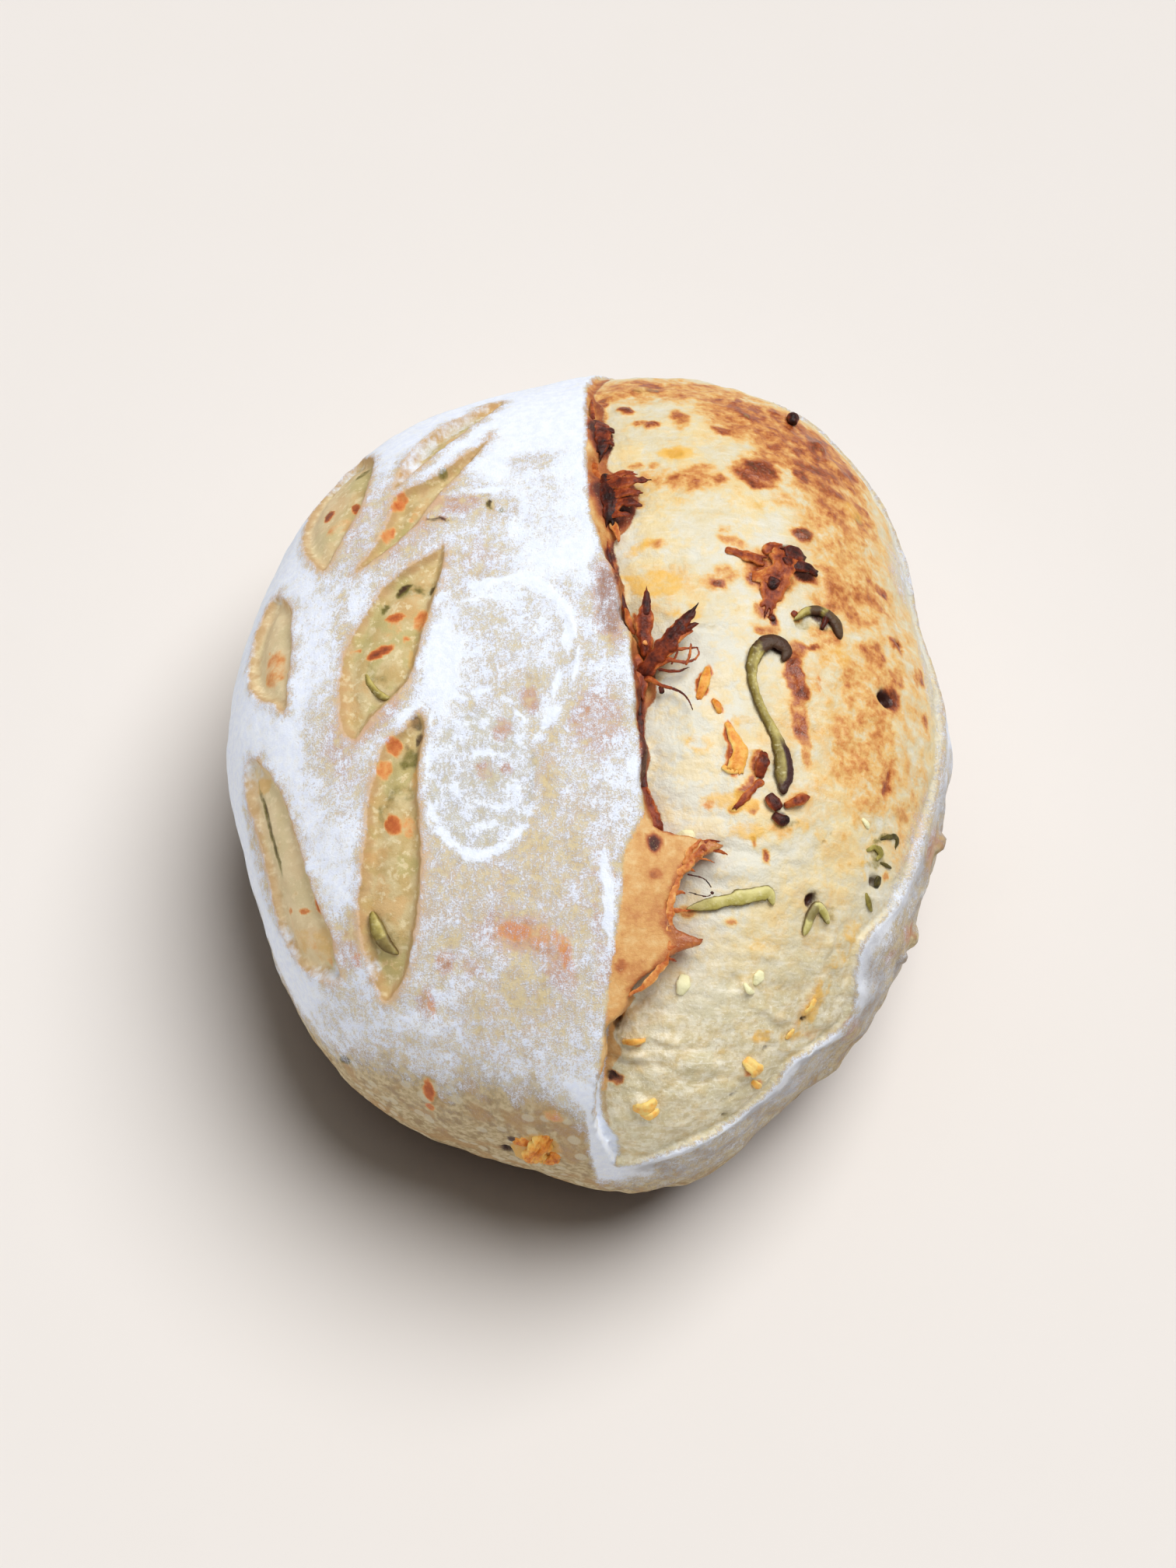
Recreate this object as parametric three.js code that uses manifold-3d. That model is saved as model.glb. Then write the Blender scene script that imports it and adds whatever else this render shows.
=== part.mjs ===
// A round sourdough loaf: a floured crust with seven leaf-shaped cuts, a long cut that has opened
// into bare crumb beside a lifted ear, and strips of green pepper baked into the crumb.
// Millimetres, +Z up, with the origin at the middle of the flat underside.
//
// Most shapes are placed in skin coordinates (u, v, h). u and v are distances over the skin from
// the crown, u towards +X and v towards +Y, and h is the height above the undisturbed skin.

import * as THREE from 'three';
import { mergeVertices } from 'three/addons/utils/BufferGeometryUtils.js';
import Module from 'manifold-3d';

// ---- driving dimensions ------------------------------------------------------------------------

const LOAF_HEIGHT = 106;
const WIDEST_LEVEL = 44; // height at which the outline is widest
const TOP_ROUNDNESS = 2.35; // superellipse exponents of the upper and the lower half
const FOOT_ROUNDNESS = 2.2;
const FOOT_RATIO = 0.72; // flat underside, as a share of the widest outline
const MEAN_RADIUS = 98;
// Radius of the widest outline every 20 degrees, anticlockwise from +X.
const OUTLINE_RADII = [
  92, 92, 104, 112, 110.5, 105.5, 103.5, 99, 93.5, 92, 91, 96.5, 102.5, 104, 110.5, 101, 96.5, 92,
];

const BODY_DETAIL = 13; // subdivisions of the ball that the body starts from
const LUMP_HEIGHT = 0.55; // gentle unevenness of the skin
const FOOT_FADE = [38, 8]; // stretch above the underside over which relief dies out
const UNCUT_COVER = 1.5; // what the long cut takes off at least
const CUT_CEILING = 22; // how far the cutting solids reach above the skin
const NODE_GAP = 0.35; // clearance round each strip that is a piece of its own

// The long opening runs from its far tip to its near tip.
const OPENING_FAR = 127;
const OPENING_NEAR = -135;
const OPENING_STEP = 4.6; // spacing of its cross-sections
const OPENING_COLUMNS = 10; // floor points in one cross-section
const COLUMN_CROWDING = 1.3; // more than 1 puts more of them near the ear
const TIP_WIDTH = 2;

// Knots [v, value] along the opening: edge of the floured ear, reach of the torn web beyond it,
// lift of the ear, run of the torn face (negative where it is undercut) and depth below the ear.
const EAR_EDGE = [
  [-135, 9], [-118, 3.2], [-104, 3.4], [-90, 4.6], [-70, 6.6], [-51, 8.6], [-42, 12], [-19, 11.4],
  [1, 9.6], [16, 7], [32, 3], [50, 0.2], [67, -0.4], [97, 0], [115, 4], [127, 11],
];
const EAR_WEB = [
  [-135, 0], [-90, 0], [-86, 3.2], [-80, 5], [-76, 9.5], [-72.5, 12.4], [-69.6, 17.4], [-67, 12],
  [-62, 11.6], [-57, 12.2], [-53, 14], [-49.5, 17.5], [-47, 20], [-45, 6.5], [-42.5, 1], [-36, 0],
  [127, 0],
];
const EAR_LIFT = [
  [-135, 0], [-118, 2], [-108, 5], [-88, 6.5], [-60, 6], [-30, 4.5], [0, 4], [30, 3], [60, 2.5],
  [90, 0.8], [127, 0],
];
const TORN_FACE_RUN = [
  [-135, 0], [-118, -2], [-108, -5], [-98, -4], [-90, 0], [-84, 3], [-78, -3], [-70, -6],
  [-52, -6], [-46, -2], [-42, 4], [-36, 3], [-28, 2], [-16, 2.2], [-5, 4], [10, 2], [27, 2.5],
  [33, 4], [38, 8], [44, 12], [50, 10], [55, 5], [59, 3.5], [64, 6], [71, 6.5], [78, 2], [97, 1],
  [127, 1],
];
const EAR_DEPTH = [
  [-135, 1], [-115, 4], [-95, 8], [-60, 8.5], [-44, 5.5], [-20, 4], [0, 4], [50, 3], [90, 1.8],
  [127, 1],
];
const EAR_THICKNESS = 3.4; // height of the torn face
const EAR_SPREAD = 22; // distance over which the lift of the ear dies out
const EAR_JAG = 0.7; // unevenness of the torn edge
const EAR_JAG_REACH = [80, 120]; // distance from the crown over which the jag dies out
const FACE_SHOULDER = 1.4; // how far a sloping torn face has dropped after a third of its run
const LIP_MARGIN = 0.3; // the cut's wall starts its slope this far under the ear's top

// Right-hand border of the opening.
const RIM_EDGE = [
  [-135, 11], [-129, 21.5], [-120, 38.9], [-113, 50], [-100, 57], [-94, 68.5], [-86, 73.5],
  [-75, 71], [-65, 71.5], [-54, 82.5], [-34, 91.4], [-23, 96.6], [-6, 99.1], [10, 101.7],
  [35, 103], [60, 98], [70, 94], [90, 82], [105, 64], [118, 42], [127, 14],
];
const RIM_LIP = 1.3; // height of the crust along the border
const RIM_SPREAD = 7;
const RIM_STEP = 1.1; // depth of the crumb just inside the border
const RIM_STEP_WIDTH = 4;
const RIM_END = 20; // stretch over which the lip dies out at both tips of the opening
const CRUMB_BULGE = 2.4; // the bare crumb stands proud in its middle
const BULGE_REACH = [60, 105]; // distance from the crown over which that dies out
const CRUMB_RISE = 11; // distance over which it rises from under the ear

// Leaf cuts in the floured side: tips, then the bulge of each side and where along it is widest.
const LEAF_CUTS = [
  { top: [-66, 89], foot: [-68, 34], left: [12, 0.5], right: [8.5, 0.5] },
  { top: [-23.6, 90.5], foot: [-49.5, 55.5], left: [7, 0.55], right: [2.6, 0.5] },
  { top: [-25, 70.5], foot: [-58.5, 30], left: [5.2, 0.55], right: [6.4, 0.65] },
  { top: [-35, 31], foot: [-58.5, -18], left: [10.1, 0.47], right: [11, 0.63] },
  { top: [-85, 36], foot: [-77.5, -5], left: [12.5, 0.5], right: [4.6, 0.45] },
  { top: [-91, -14], foot: [-65, -77], left: [14, 0.62], right: [6, 0.42] },
  { top: [-39.5, -13], foot: [-49.5, -83], left: [10.2, 0.45], right: [6.8, 0.66] },
];
const LEAF_STATIONS = 11;
const LEAF_COLUMNS = 5;
const LEAF_DEPTH = 2.6; // floor of a cut at its sides
const LEAF_BULGE = 1.8; // rise of the floor in its middle
const LEAF_CEILING = 7;
const LEAF_TIP = 0.02; // share of a cut's length left off at each tip
const LEAF_TIP_DEPTH = 0.35; // depth at the tips, as a share of the depth in the middle

// Pepper slices under the crust show as low oval swellings: centre and half axes.
const OVAL_SWELLINGS = [
  { centre: [-19, -0.3], across: 16.4, along: 21.4 },
  { centre: [-25, -31], across: 14, along: 19.2 },
];
const SWELLING_HEIGHT = 0.9;
const SWELLING_HALF_WIDTH = 2.6;
const SWELLING_STEPS = 16;
const SWELLING_FOOT = 0.6; // how far its edges and its keel are sunk
const SWELLING_KEEL = 3;

// Charred shreds on the torn edge, fused to the crust: path in (u, v, h), width and thickness.
const CHARRED_SHREDS = [
  { path: [[8, -6, 3.6], [11.6, 3, 4.6], [13.6, 14, 5]], width: 4.4, thickness: 2.4 },
  { path: [[9.5, -9, 3.6], [16.5, -1, 5], [24, 9, 6]], width: 5, thickness: 3 },
  { path: [[14, -3, 4], [20, -1.5, 5], [25.4, -2.5, 5.4]], width: 3.4, thickness: 2 },
  { path: [[11, -4, 3.4], [17.5, -9, 3.6], [24.2, -14.6, 3.6]], width: 2.2, thickness: 1.8 },
  { path: [[0, 46, 1], [8, 46.5, 3], [15, 46.8, 4]], width: 6, thickness: 3 },
  { path: [[-2, 68, 0.8], [4, 68, 2], [8, 66, 2.6]], width: 7, thickness: 3 },
  { path: [[0.5, 38, 1], [7, 40, 2.4], [13, 41, 3]], width: 5, thickness: 2.6 },
];

// Melted cheese and seeds fused to the surface: place, length, width, height, turn in degrees and
// how far the middle is sunk.
const CHEESE_BITS = [
  { at: [33.4, -23.6], size: [14, 6, 3.4], turn: 96 },
  { at: [27.3, -6.4], size: [9.5, 3.2, 2.4], turn: 70 },
  { at: [30.2, -12.4], size: [5, 2.6, 2], turn: 105 },
  { at: [14.6, -112.4], size: [9, 4.6, 3], turn: 150 },
  { at: [43, -101], size: [7, 5, 2.6], turn: 60 },
  { at: [11.5, -94.5], size: [7.5, 3.2, 2.2], turn: 15 },
  { at: [56.5, -84], size: [13, 4.6, 2.4], turn: 68 },
  { at: [-45, -39], size: [8, 6, 2.4], turn: 0, sunk: 1.4 },
  { at: [-43.9, -108.8], size: [9, 6, 2.2], turn: 90 },
  { at: [-13.8, -128.2], size: [13, 8, 5], turn: 10 },
  { at: [-20, -134], size: [8, 6, 4.5], turn: 40 },
  { at: [105.8, -32.3], size: [9, 6, 4.5], turn: 80 },
  { at: [105.7, -62.5], size: [10, 6, 4], turn: 60 },
  { at: [46, 24.5], size: [13, 9, 4], turn: 60 },
  { at: [51.5, 28.5], size: [8.5, 5, 4.4], turn: 150 },
];
const SEEDS = [
  { at: [23.4, -80], turn: 70 },
  { at: [41.6, -77], turn: 60 },
  { at: [23, -44.8], turn: 10 },
];
const SEED_SIZE = [4.3, 3.6, 1.8];
const BROAD_BLOB = 8; // blobs longer than this get more faces

// Open pores in the crumb: place, width and depth.
const PORES = [
  { at: [74, -2.6], width: 6, depth: 3 },
  { at: [81.7, 16.2], width: 4.5, depth: 2.5 },
  { at: [72.4, -50.6], width: 4, depth: 2.5 },
];

// Strips of green pepper, each a piece of its own, half sunk in the surface: path in u, v and the
// height of the middle of the strip above the crumb or crust there.
const PEPPER_STRIPS = {
  pepper_long: {
    path: [[47, 3.6, 1.8], [42.6, 4.4, 1.2], [39.2, -0.6, 0.6], [39.4, -9.6, 0.5], [44, -19.4, 0.5],
      [46.6, -27, 0.6], [44.6, -38.6, 1]],
    width: 3.8,
    thickness: 3.2,
  },
  pepper_curl: {
    path: [[50, 12, 0.2], [54, 15.2, 1], [58.4, 14.8, 1], [61.4, 10, 0.2]],
    width: 4.2,
    thickness: 3.2,
  },
  pepper_flat: {
    path: [[23, -61.6, 0.7], [30, -60.4, 0.6], [37, -59.2, 0.6], [43.6, -58.2, 0.2]],
    width: 4,
    thickness: 2.4,
  },
  pepper_fold: {
    path: [[52.2, -66, 0.2], [53.4, -60.6, 0.8], [55.4, -59, 0.8], [59, -62.6, 0.2]],
    width: 3,
    thickness: 2.6,
  },
  pepper_leaf: {
    path: [[-54.6, 0.8, -1.4], [-53, -3.4, -1.1], [-49.6, -7.2, -1.1], [-45.4, -8.8, -1.4]],
    width: 2.6,
    thickness: 2.6,
  },
  pepper_low: {
    path: [[-53, -60.4, -1.6], [-51.4, -64.6, -1.2], [-49.4, -68.6, -1.2], [-46.4, -71.4, -1.6]],
    width: 3.8,
    thickness: 3,
  },
};
const STRAND_SIDES = 8;
const STRAND_STEP = 4.2; // spacing of the rings of a strand

// ---- curves and skin ---------------------------------------------------------------------------

const wasm = await Module();
wasm.setup();

function smoothstep(low, high, x) {
  const t = Math.min(Math.max((x - low) / (high - low), 0), 1);
  return t * t * (3 - 2 * t);
}

// A smooth curve through [x, y] knots, flat beyond both ends.
function throughKnots(knots, x) {
  const last = knots.length - 1;
  if (x <= knots[0][0]) return knots[0][1];
  if (x >= knots[last][0]) return knots[last][1];
  let i = 0;
  while (x > knots[i + 1][0]) i += 1;
  const slopeAt = (j) => {
    const before = knots[Math.max(j - 1, 0)];
    const after = knots[Math.min(j + 1, last)];
    return (after[1] - before[1]) / (after[0] - before[0]);
  };
  const span = knots[i + 1][0] - knots[i][0];
  const t = (x - knots[i][0]) / span;
  const ease = t * t * (3 - 2 * t);
  const rise = t * (1 - t) * (1 - t) * span * slopeAt(i);
  const fall = t * t * (1 - t) * span * slopeAt(i + 1);
  return knots[i][1] * (1 - ease) + knots[i + 1][1] * ease + rise - fall;
}

function outlineRadius(angle) {
  const count = OUTLINE_RADII.length;
  const turn = (((angle / (2 * Math.PI)) % 1) + 1) % 1;
  const i = Math.floor(turn * count);
  const t = turn * count - i;
  const [a, b, c, d] = [-1, 0, 1, 2].map((step) => OUTLINE_RADII[(i + step + count) % count]);
  return 0.5 * (2 * b + (c - a) * t + (2 * a - 5 * b + 4 * c - d) * t * t
    + (3 * b - a - 3 * c + d) * t * t * t);
}

// The meridian from the crown down to the middle of the underside, with its running length.
function meridianTable() {
  const stepsPerPart = 200;
  const rows = [{ length: 0, ratio: 0, z: LOAF_HEIGHT }];
  const addRow = (ratio, z) => {
    const before = rows[rows.length - 1];
    const step = Math.hypot((ratio - before.ratio) * MEAN_RADIUS, z - before.z);
    rows.push({ length: before.length + step, ratio, z });
  };
  for (let i = 1; i <= stepsPerPart; i += 1) {
    const angle = (i / stepsPerPart) * (Math.PI / 2);
    const rise = Math.max(Math.cos(angle), 0) ** (2 / TOP_ROUNDNESS);
    addRow(Math.sin(angle) ** (2 / TOP_ROUNDNESS), WIDEST_LEVEL + (LOAF_HEIGHT - WIDEST_LEVEL) * rise);
  }
  for (let i = 1; i <= stepsPerPart; i += 1) {
    const angle = (i / stepsPerPart) * (Math.PI / 2);
    const reach = Math.max(Math.cos(angle), 0) ** (2 / FOOT_ROUNDNESS);
    const drop = Math.sin(angle) ** (2 / FOOT_ROUNDNESS);
    addRow(FOOT_RATIO + (1 - FOOT_RATIO) * reach, WIDEST_LEVEL * (1 - drop));
  }
  addRow(0, 0);
  return rows;
}

const MERIDIAN = meridianTable();
const MERIDIAN_LENGTH = MERIDIAN[MERIDIAN.length - 1].length;
const FOOT_LENGTH = MERIDIAN[MERIDIAN.length - 2].length; // down to the edge of the underside

function bareSkin(u, v) {
  const angle = Math.atan2(v, u);
  const radius = outlineRadius(angle);
  const length = Math.min((Math.hypot(u, v) * MEAN_RADIUS) / radius, MERIDIAN_LENGTH);
  let low = 0;
  let high = MERIDIAN.length - 1;
  while (high - low > 1) {
    const middle = (low + high) >> 1;
    if (MERIDIAN[middle].length <= length) low = middle;
    else high = middle;
  }
  const share = (length - MERIDIAN[low].length) / (MERIDIAN[high].length - MERIDIAN[low].length);
  const reach = radius * THREE.MathUtils.lerp(MERIDIAN[low].ratio, MERIDIAN[high].ratio, share);
  const z = THREE.MathUtils.lerp(MERIDIAN[low].z, MERIDIAN[high].z, share);
  return new THREE.Vector3(reach * Math.cos(angle), reach * Math.sin(angle), z);
}

// The point at height h above the skin at (u, v).
function skinPoint(u, v, h) {
  const delta = 0.6;
  const alongU = bareSkin(u + delta, v).sub(bareSkin(u - delta, v));
  const alongV = bareSkin(u, v + delta).sub(bareSkin(u, v - delta));
  const normal = alongU.cross(alongV).normalize();
  return bareSkin(u, v).addScaledVector(normal, h);
}

// ---- heights of crust and crumb ----------------------------------------------------------------

function lumps(u, v) {
  const broad = Math.sin(u / 17 + 1.3) * Math.cos(v / 21 - 0.4);
  const fine = Math.sin(u / 8.3 - v / 11.7) * Math.sin(v / 9.1 + 0.8);
  return LUMP_HEIGHT * (broad + 0.6 * fine);
}

function earEdge(v) {
  return throughKnots(EAR_EDGE, v);
}

// Outermost reach of the ear, with the torn web.
function lipEdge(v) {
  const fade = 1 - smoothstep(...EAR_JAG_REACH, Math.abs(v));
  const jag = EAR_JAG * (Math.sin(v / 2.3) + Math.sin(v / 3.7 + 2)) * fade;
  return earEdge(v) + throughKnots(EAR_WEB, v) + jag;
}

function rimEdge(v) {
  return throughKnots(RIM_EDGE, v);
}

function crustHeight(u, v) {
  const fromEar = Math.max(earEdge(v) - u, 0);
  const earLift = throughKnots(EAR_LIFT, v) * Math.exp(-fromEar / EAR_SPREAD);
  const pastEar = 1 - smoothstep(EAR_SPREAD, 2 * EAR_SPREAD, u - lipEdge(v));
  const fromRim = Math.abs(u - rimEdge(v));
  const fromTips = Math.min(v - OPENING_NEAR, OPENING_FAR - v);
  const inReach = smoothstep(0, RIM_END, fromTips) * smoothstep(0, RIM_END, u);
  const rim = RIM_LIP * Math.exp(-fromRim / RIM_SPREAD) * inReach;
  return lumps(u, v) + earLift * pastEar + rim;
}

function crumbHeight(u, v) {
  const left = earEdge(v);
  const right = rimEdge(v);
  const across = THREE.MathUtils.clamp((u - left) / Math.max(right - left, 1), 0, 1);
  const fromEar = Math.max(u - left - throughKnots(EAR_WEB, v) / 2, 0);
  const sunk = throughKnots(EAR_DEPTH, v) * Math.exp(-fromEar / CRUMB_RISE);
  const fade = 1 - smoothstep(...BULGE_REACH, Math.hypot(u, v));
  const bulge = CRUMB_BULGE * Math.sin(Math.PI * across) * fade;
  const step = RIM_STEP * Math.exp(-Math.max(right - u, 0) / RIM_STEP_WIDTH);
  return lumps(u, v) + bulge - sunk - step;
}

function onCrumb(u, v) {
  return u > lipEdge(v) && u < rimEdge(v) && v > OPENING_NEAR && v < OPENING_FAR;
}

function surfaceHeight(u, v) {
  return onCrumb(u, v) ? crumbHeight(u, v) : crustHeight(u, v);
}

// Height of the uncut body: over the long cut it stays clear above the crumb.
function bodyHeight(u, v) {
  const crust = crustHeight(u, v);
  return onCrumb(u, v) ? Math.max(crust, crumbHeight(u, v) + UNCUT_COVER) : crust;
}

// ---- solids ------------------------------------------------------------------------------------

// A closed mesh through rings of equally many points, shut by a fan at each end.
function closedLoft(rings) {
  const count = rings[0].length;
  const points = rings.flat();
  const triangles = [];
  for (let i = 0; i + 1 < rings.length; i += 1) {
    for (let j = 0; j < count; j += 1) {
      const a = i * count + j;
      const b = i * count + ((j + 1) % count);
      triangles.push(a, b, a + count, b, b + count, a + count);
    }
  }
  for (const [start, turned] of [[0, true], [(rings.length - 1) * count, false]]) {
    const ring = points.slice(start, start + count);
    const middle = ring.reduce((sum, p) => sum.add(p), new THREE.Vector3()).divideScalar(count);
    const centre = points.push(middle) - 1;
    for (let j = 0; j < count; j += 1) {
      const a = start + j;
      const b = start + ((j + 1) % count);
      triangles.push(...(turned ? [b, a, centre] : [a, b, centre]));
    }
  }
  const geometry = new THREE.BufferGeometry();
  geometry.setAttribute('position', new THREE.Float32BufferAttribute(points.flatMap((p) => [...p]), 3));
  geometry.setIndex(triangles);
  return geometry;
}

function enclosedVolume(geometry) {
  const position = geometry.attributes.position;
  const corners = [new THREE.Vector3(), new THREE.Vector3(), new THREE.Vector3()];
  let volume = 0;
  for (let i = 0; i < geometry.index.count; i += 3) {
    corners.forEach((corner, j) => corner.fromBufferAttribute(position, geometry.index.getX(i + j)));
    volume += corners[0].dot(corners[1].clone().cross(corners[2])) / 6;
  }
  return volume;
}

// A solid for joining and cutting, with its faces turned outwards.
function toSolid(geometry) {
  const triVerts = Uint32Array.from(geometry.index.array);
  if (enclosedVolume(geometry) < 0) {
    for (let i = 0; i < triVerts.length; i += 3) {
      [triVerts[i], triVerts[i + 1]] = [triVerts[i + 1], triVerts[i]];
    }
  }
  const vertProperties = Float32Array.from(geometry.attributes.position.array);
  return new wasm.Manifold(new wasm.Mesh({ numProp: 3, vertProperties, triVerts }));
}

function toGeometry(solid) {
  const mesh = solid.getMesh();
  const geometry = new THREE.BufferGeometry();
  geometry.setAttribute('position', new THREE.BufferAttribute(mesh.vertProperties, 3));
  geometry.setIndex(new THREE.BufferAttribute(mesh.triVerts, 1));
  geometry.computeVertexNormals();
  return geometry;
}

// The whole loaf before cutting: a ball wrapped onto the skin and raised to the crust.
function bodyGeometry() {
  const ball = new THREE.IcosahedronGeometry(1, BODY_DETAIL);
  ball.deleteAttribute('normal');
  ball.deleteAttribute('uv');
  const geometry = mergeVertices(ball);
  const position = geometry.attributes.position;
  const direction = new THREE.Vector3();
  for (let i = 0; i < position.count; i += 1) {
    direction.fromBufferAttribute(position, i).normalize();
    const angle = Math.atan2(direction.y, direction.x);
    const length = (Math.acos(THREE.MathUtils.clamp(direction.z, -1, 1)) / Math.PI) * MERIDIAN_LENGTH;
    const reach = (length * outlineRadius(angle)) / MEAN_RADIUS;
    const u = reach * Math.cos(angle);
    const v = reach * Math.sin(angle);
    const fade = 1 - smoothstep(FOOT_LENGTH - FOOT_FADE[0], FOOT_LENGTH - FOOT_FADE[1], length);
    const point = fade > 0 ? skinPoint(u, v, bodyHeight(u, v) * fade) : bareSkin(u, v);
    position.setXYZ(i, point.x, point.y, point.z);
  }
  return geometry;
}

// The cutter that opens the long cut: its floor is the crumb, its left wall the torn ear.
function openingGeometry() {
  const steps = Math.round((OPENING_FAR - OPENING_NEAR) / OPENING_STEP);
  const rings = [];
  for (let i = 0; i <= steps; i += 1) {
    const v = OPENING_NEAR + ((OPENING_FAR - OPENING_NEAR) * i) / steps;
    const left = lipEdge(v);
    const right = Math.max(rimEdge(v), left + TIP_WIDTH);
    const lift = throughKnots(EAR_LIFT, v);
    const floorLeft = left + Math.min(throughKnots(TORN_FACE_RUN, v), (right - left) / 2);
    const shoulder = floorLeft < left ? EAR_THICKNESS : FACE_SHOULDER;
    const shoulderLeft = floorLeft < left ? left : (2 * left + floorLeft) / 3;
    const ring = [skinPoint(left, v, CUT_CEILING), skinPoint(left, v, lift - LIP_MARGIN)];
    ring.push(skinPoint(shoulderLeft, v, lift - shoulder));
    for (let j = 0; j < OPENING_COLUMNS; j += 1) {
      const share = j / (OPENING_COLUMNS - 1);
      const u = floorLeft + (right - floorLeft) * share ** COLUMN_CROWDING;
      ring.push(skinPoint(u, v, crumbHeight(u, v)));
    }
    ring.push(skinPoint(right, v, CUT_CEILING));
    ring.push(skinPoint((2 * right + left) / 3, v, CUT_CEILING));
    ring.push(skinPoint((right + 2 * left) / 3, v, CUT_CEILING));
    rings.push(ring);
  }
  return closedLoft(rings);
}

function leafGeometry({ top, foot, left, right }) {
  const [alongU, alongV] = [foot[0] - top[0], foot[1] - top[1]];
  const length = Math.hypot(alongU, alongV);
  const [sideU, sideV] = [alongV / length, -alongU / length]; // towards -u
  const reach = ([bulge, at], t) => bulge * Math.sin(Math.PI * t ** (Math.log(0.5) / Math.log(at)));
  const rings = [];
  for (let i = 0; i < LEAF_STATIONS; i += 1) {
    const t = LEAF_TIP + ((1 - 2 * LEAF_TIP) * i) / (LEAF_STATIONS - 1);
    const [from, to] = [reach(left, t), -reach(right, t)];
    const place = (share, h) => {
      const offset = from + (to - from) * share;
      return skinPoint(top[0] + alongU * t + sideU * offset, top[1] + alongV * t + sideV * offset, h);
    };
    const ring = [place(0.5, LEAF_CEILING), place(0, LEAF_CEILING)];
    const deepening = LEAF_TIP_DEPTH + (1 - LEAF_TIP_DEPTH) * Math.sin(Math.PI * t);
    for (let j = 0; j < LEAF_COLUMNS; j += 1) {
      const share = j / (LEAF_COLUMNS - 1);
      const rise = LEAF_BULGE * Math.sin(Math.PI * share);
      ring.push(place(share, (rise - LEAF_DEPTH) * deepening));
    }
    ring.push(place(1, LEAF_CEILING));
    rings.push(ring);
  }
  return closedLoft(rings);
}

// A tapering strand along a path in skin coordinates, grown by a clearance where it cuts.
function strandGeometry({ path, width, thickness }, clearance = 0) {
  const curve = new THREE.CatmullRomCurve3(
    path.map((point) => new THREE.Vector3(...point)),
    false,
    'centripetal',
  );
  const steps = Math.max(Math.round(curve.getLength() / STRAND_STEP), 3);
  const rings = [];
  for (let i = 0; i <= steps; i += 1) {
    const tangent = curve.getTangentAt(i / steps);
    const outward = (i === steps ? 1 : 0) - (i === 0 ? 1 : 0);
    const centre = curve.getPointAt(i / steps).addScaledVector(tangent, outward * clearance);
    const side = new THREE.Vector3(-tangent.y, tangent.x, 0).normalize();
    const up = tangent.clone().cross(side);
    const taper = outward === 0 ? 1 : 0.5;
    const ring = [];
    for (let j = 0; j < STRAND_SIDES; j += 1) {
      const angle = (2 * Math.PI * j) / STRAND_SIDES;
      const across = (width / 2) * taper + clearance;
      const rise = (thickness / 2) * taper + clearance;
      const point = centre.clone().addScaledVector(side, Math.cos(angle) * across);
      point.addScaledVector(up, Math.sin(angle) * rise);
      ring.push(skinPoint(point.x, point.y, point.z));
    }
    rings.push(ring);
  }
  return closedLoft(rings);
}

// A strip with its path raised from the surface to skin coordinates.
function layOnSurface({ path, width, thickness }) {
  return { path: path.map(([u, v, h]) => [u, v, surfaceHeight(u, v) + h]), width, thickness };
}

// An oval ridge over a pepper slice that lies under the crust.
function swellingSolid({ centre, across, along }) {
  const [innerSide, outerSide, ridgeTop] = [-1, 1, 0].map((side) => side * SWELLING_HALF_WIDTH);
  const profile = [
    [innerSide, -SWELLING_FOOT],
    [ridgeTop, SWELLING_HEIGHT],
    [outerSide, -SWELLING_FOOT],
    [ridgeTop, -SWELLING_KEEL],
  ];
  const points = [];
  for (let i = 0; i < SWELLING_STEPS; i += 1) {
    const angle = (2 * Math.PI * i) / SWELLING_STEPS;
    for (const [offset, height] of profile) {
      const u = centre[0] + (across + offset) * Math.cos(angle);
      const v = centre[1] + (along + offset) * Math.sin(angle);
      points.push(...skinPoint(u, v, crustHeight(u, v) + height));
    }
  }
  const sides = profile.length;
  const triangles = [];
  for (let i = 0; i < SWELLING_STEPS; i += 1) {
    const next = (i + 1) % SWELLING_STEPS;
    for (let j = 0; j < sides; j += 1) {
      const [a, b] = [i * sides + j, i * sides + ((j + 1) % sides)];
      const [c, d] = [next * sides + j, next * sides + ((j + 1) % sides)];
      triangles.push(a, b, c, b, d, c);
    }
  }
  const geometry = new THREE.BufferGeometry();
  geometry.setAttribute('position', new THREE.Float32BufferAttribute(points, 3));
  geometry.setIndex(triangles);
  return toSolid(geometry);
}

// A flattened blob lying on the surface, for cheese, seeds and, sunk, for pores.
function blobSolid([u, v], [length, width, height], turn, sunk = 0) {
  const detail = length > BROAD_BLOB ? 1 : 0;
  const ball = new THREE.IcosahedronGeometry(0.5, detail);
  ball.deleteAttribute('normal');
  ball.deleteAttribute('uv');
  const geometry = mergeVertices(ball);
  const position = geometry.attributes.position;
  const level = surfaceHeight(u, v) - sunk;
  const angle = THREE.MathUtils.degToRad(turn);
  for (let i = 0; i < position.count; i += 1) {
    const [x, y] = [position.getX(i) * length, position.getY(i) * width];
    const pointU = u + x * Math.cos(angle) - y * Math.sin(angle);
    const pointV = v + x * Math.sin(angle) + y * Math.cos(angle);
    const point = skinPoint(pointU, pointV, level + position.getZ(i) * height);
    position.setXYZ(i, point.x, point.y, point.z);
  }
  return toSolid(geometry);
}

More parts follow.
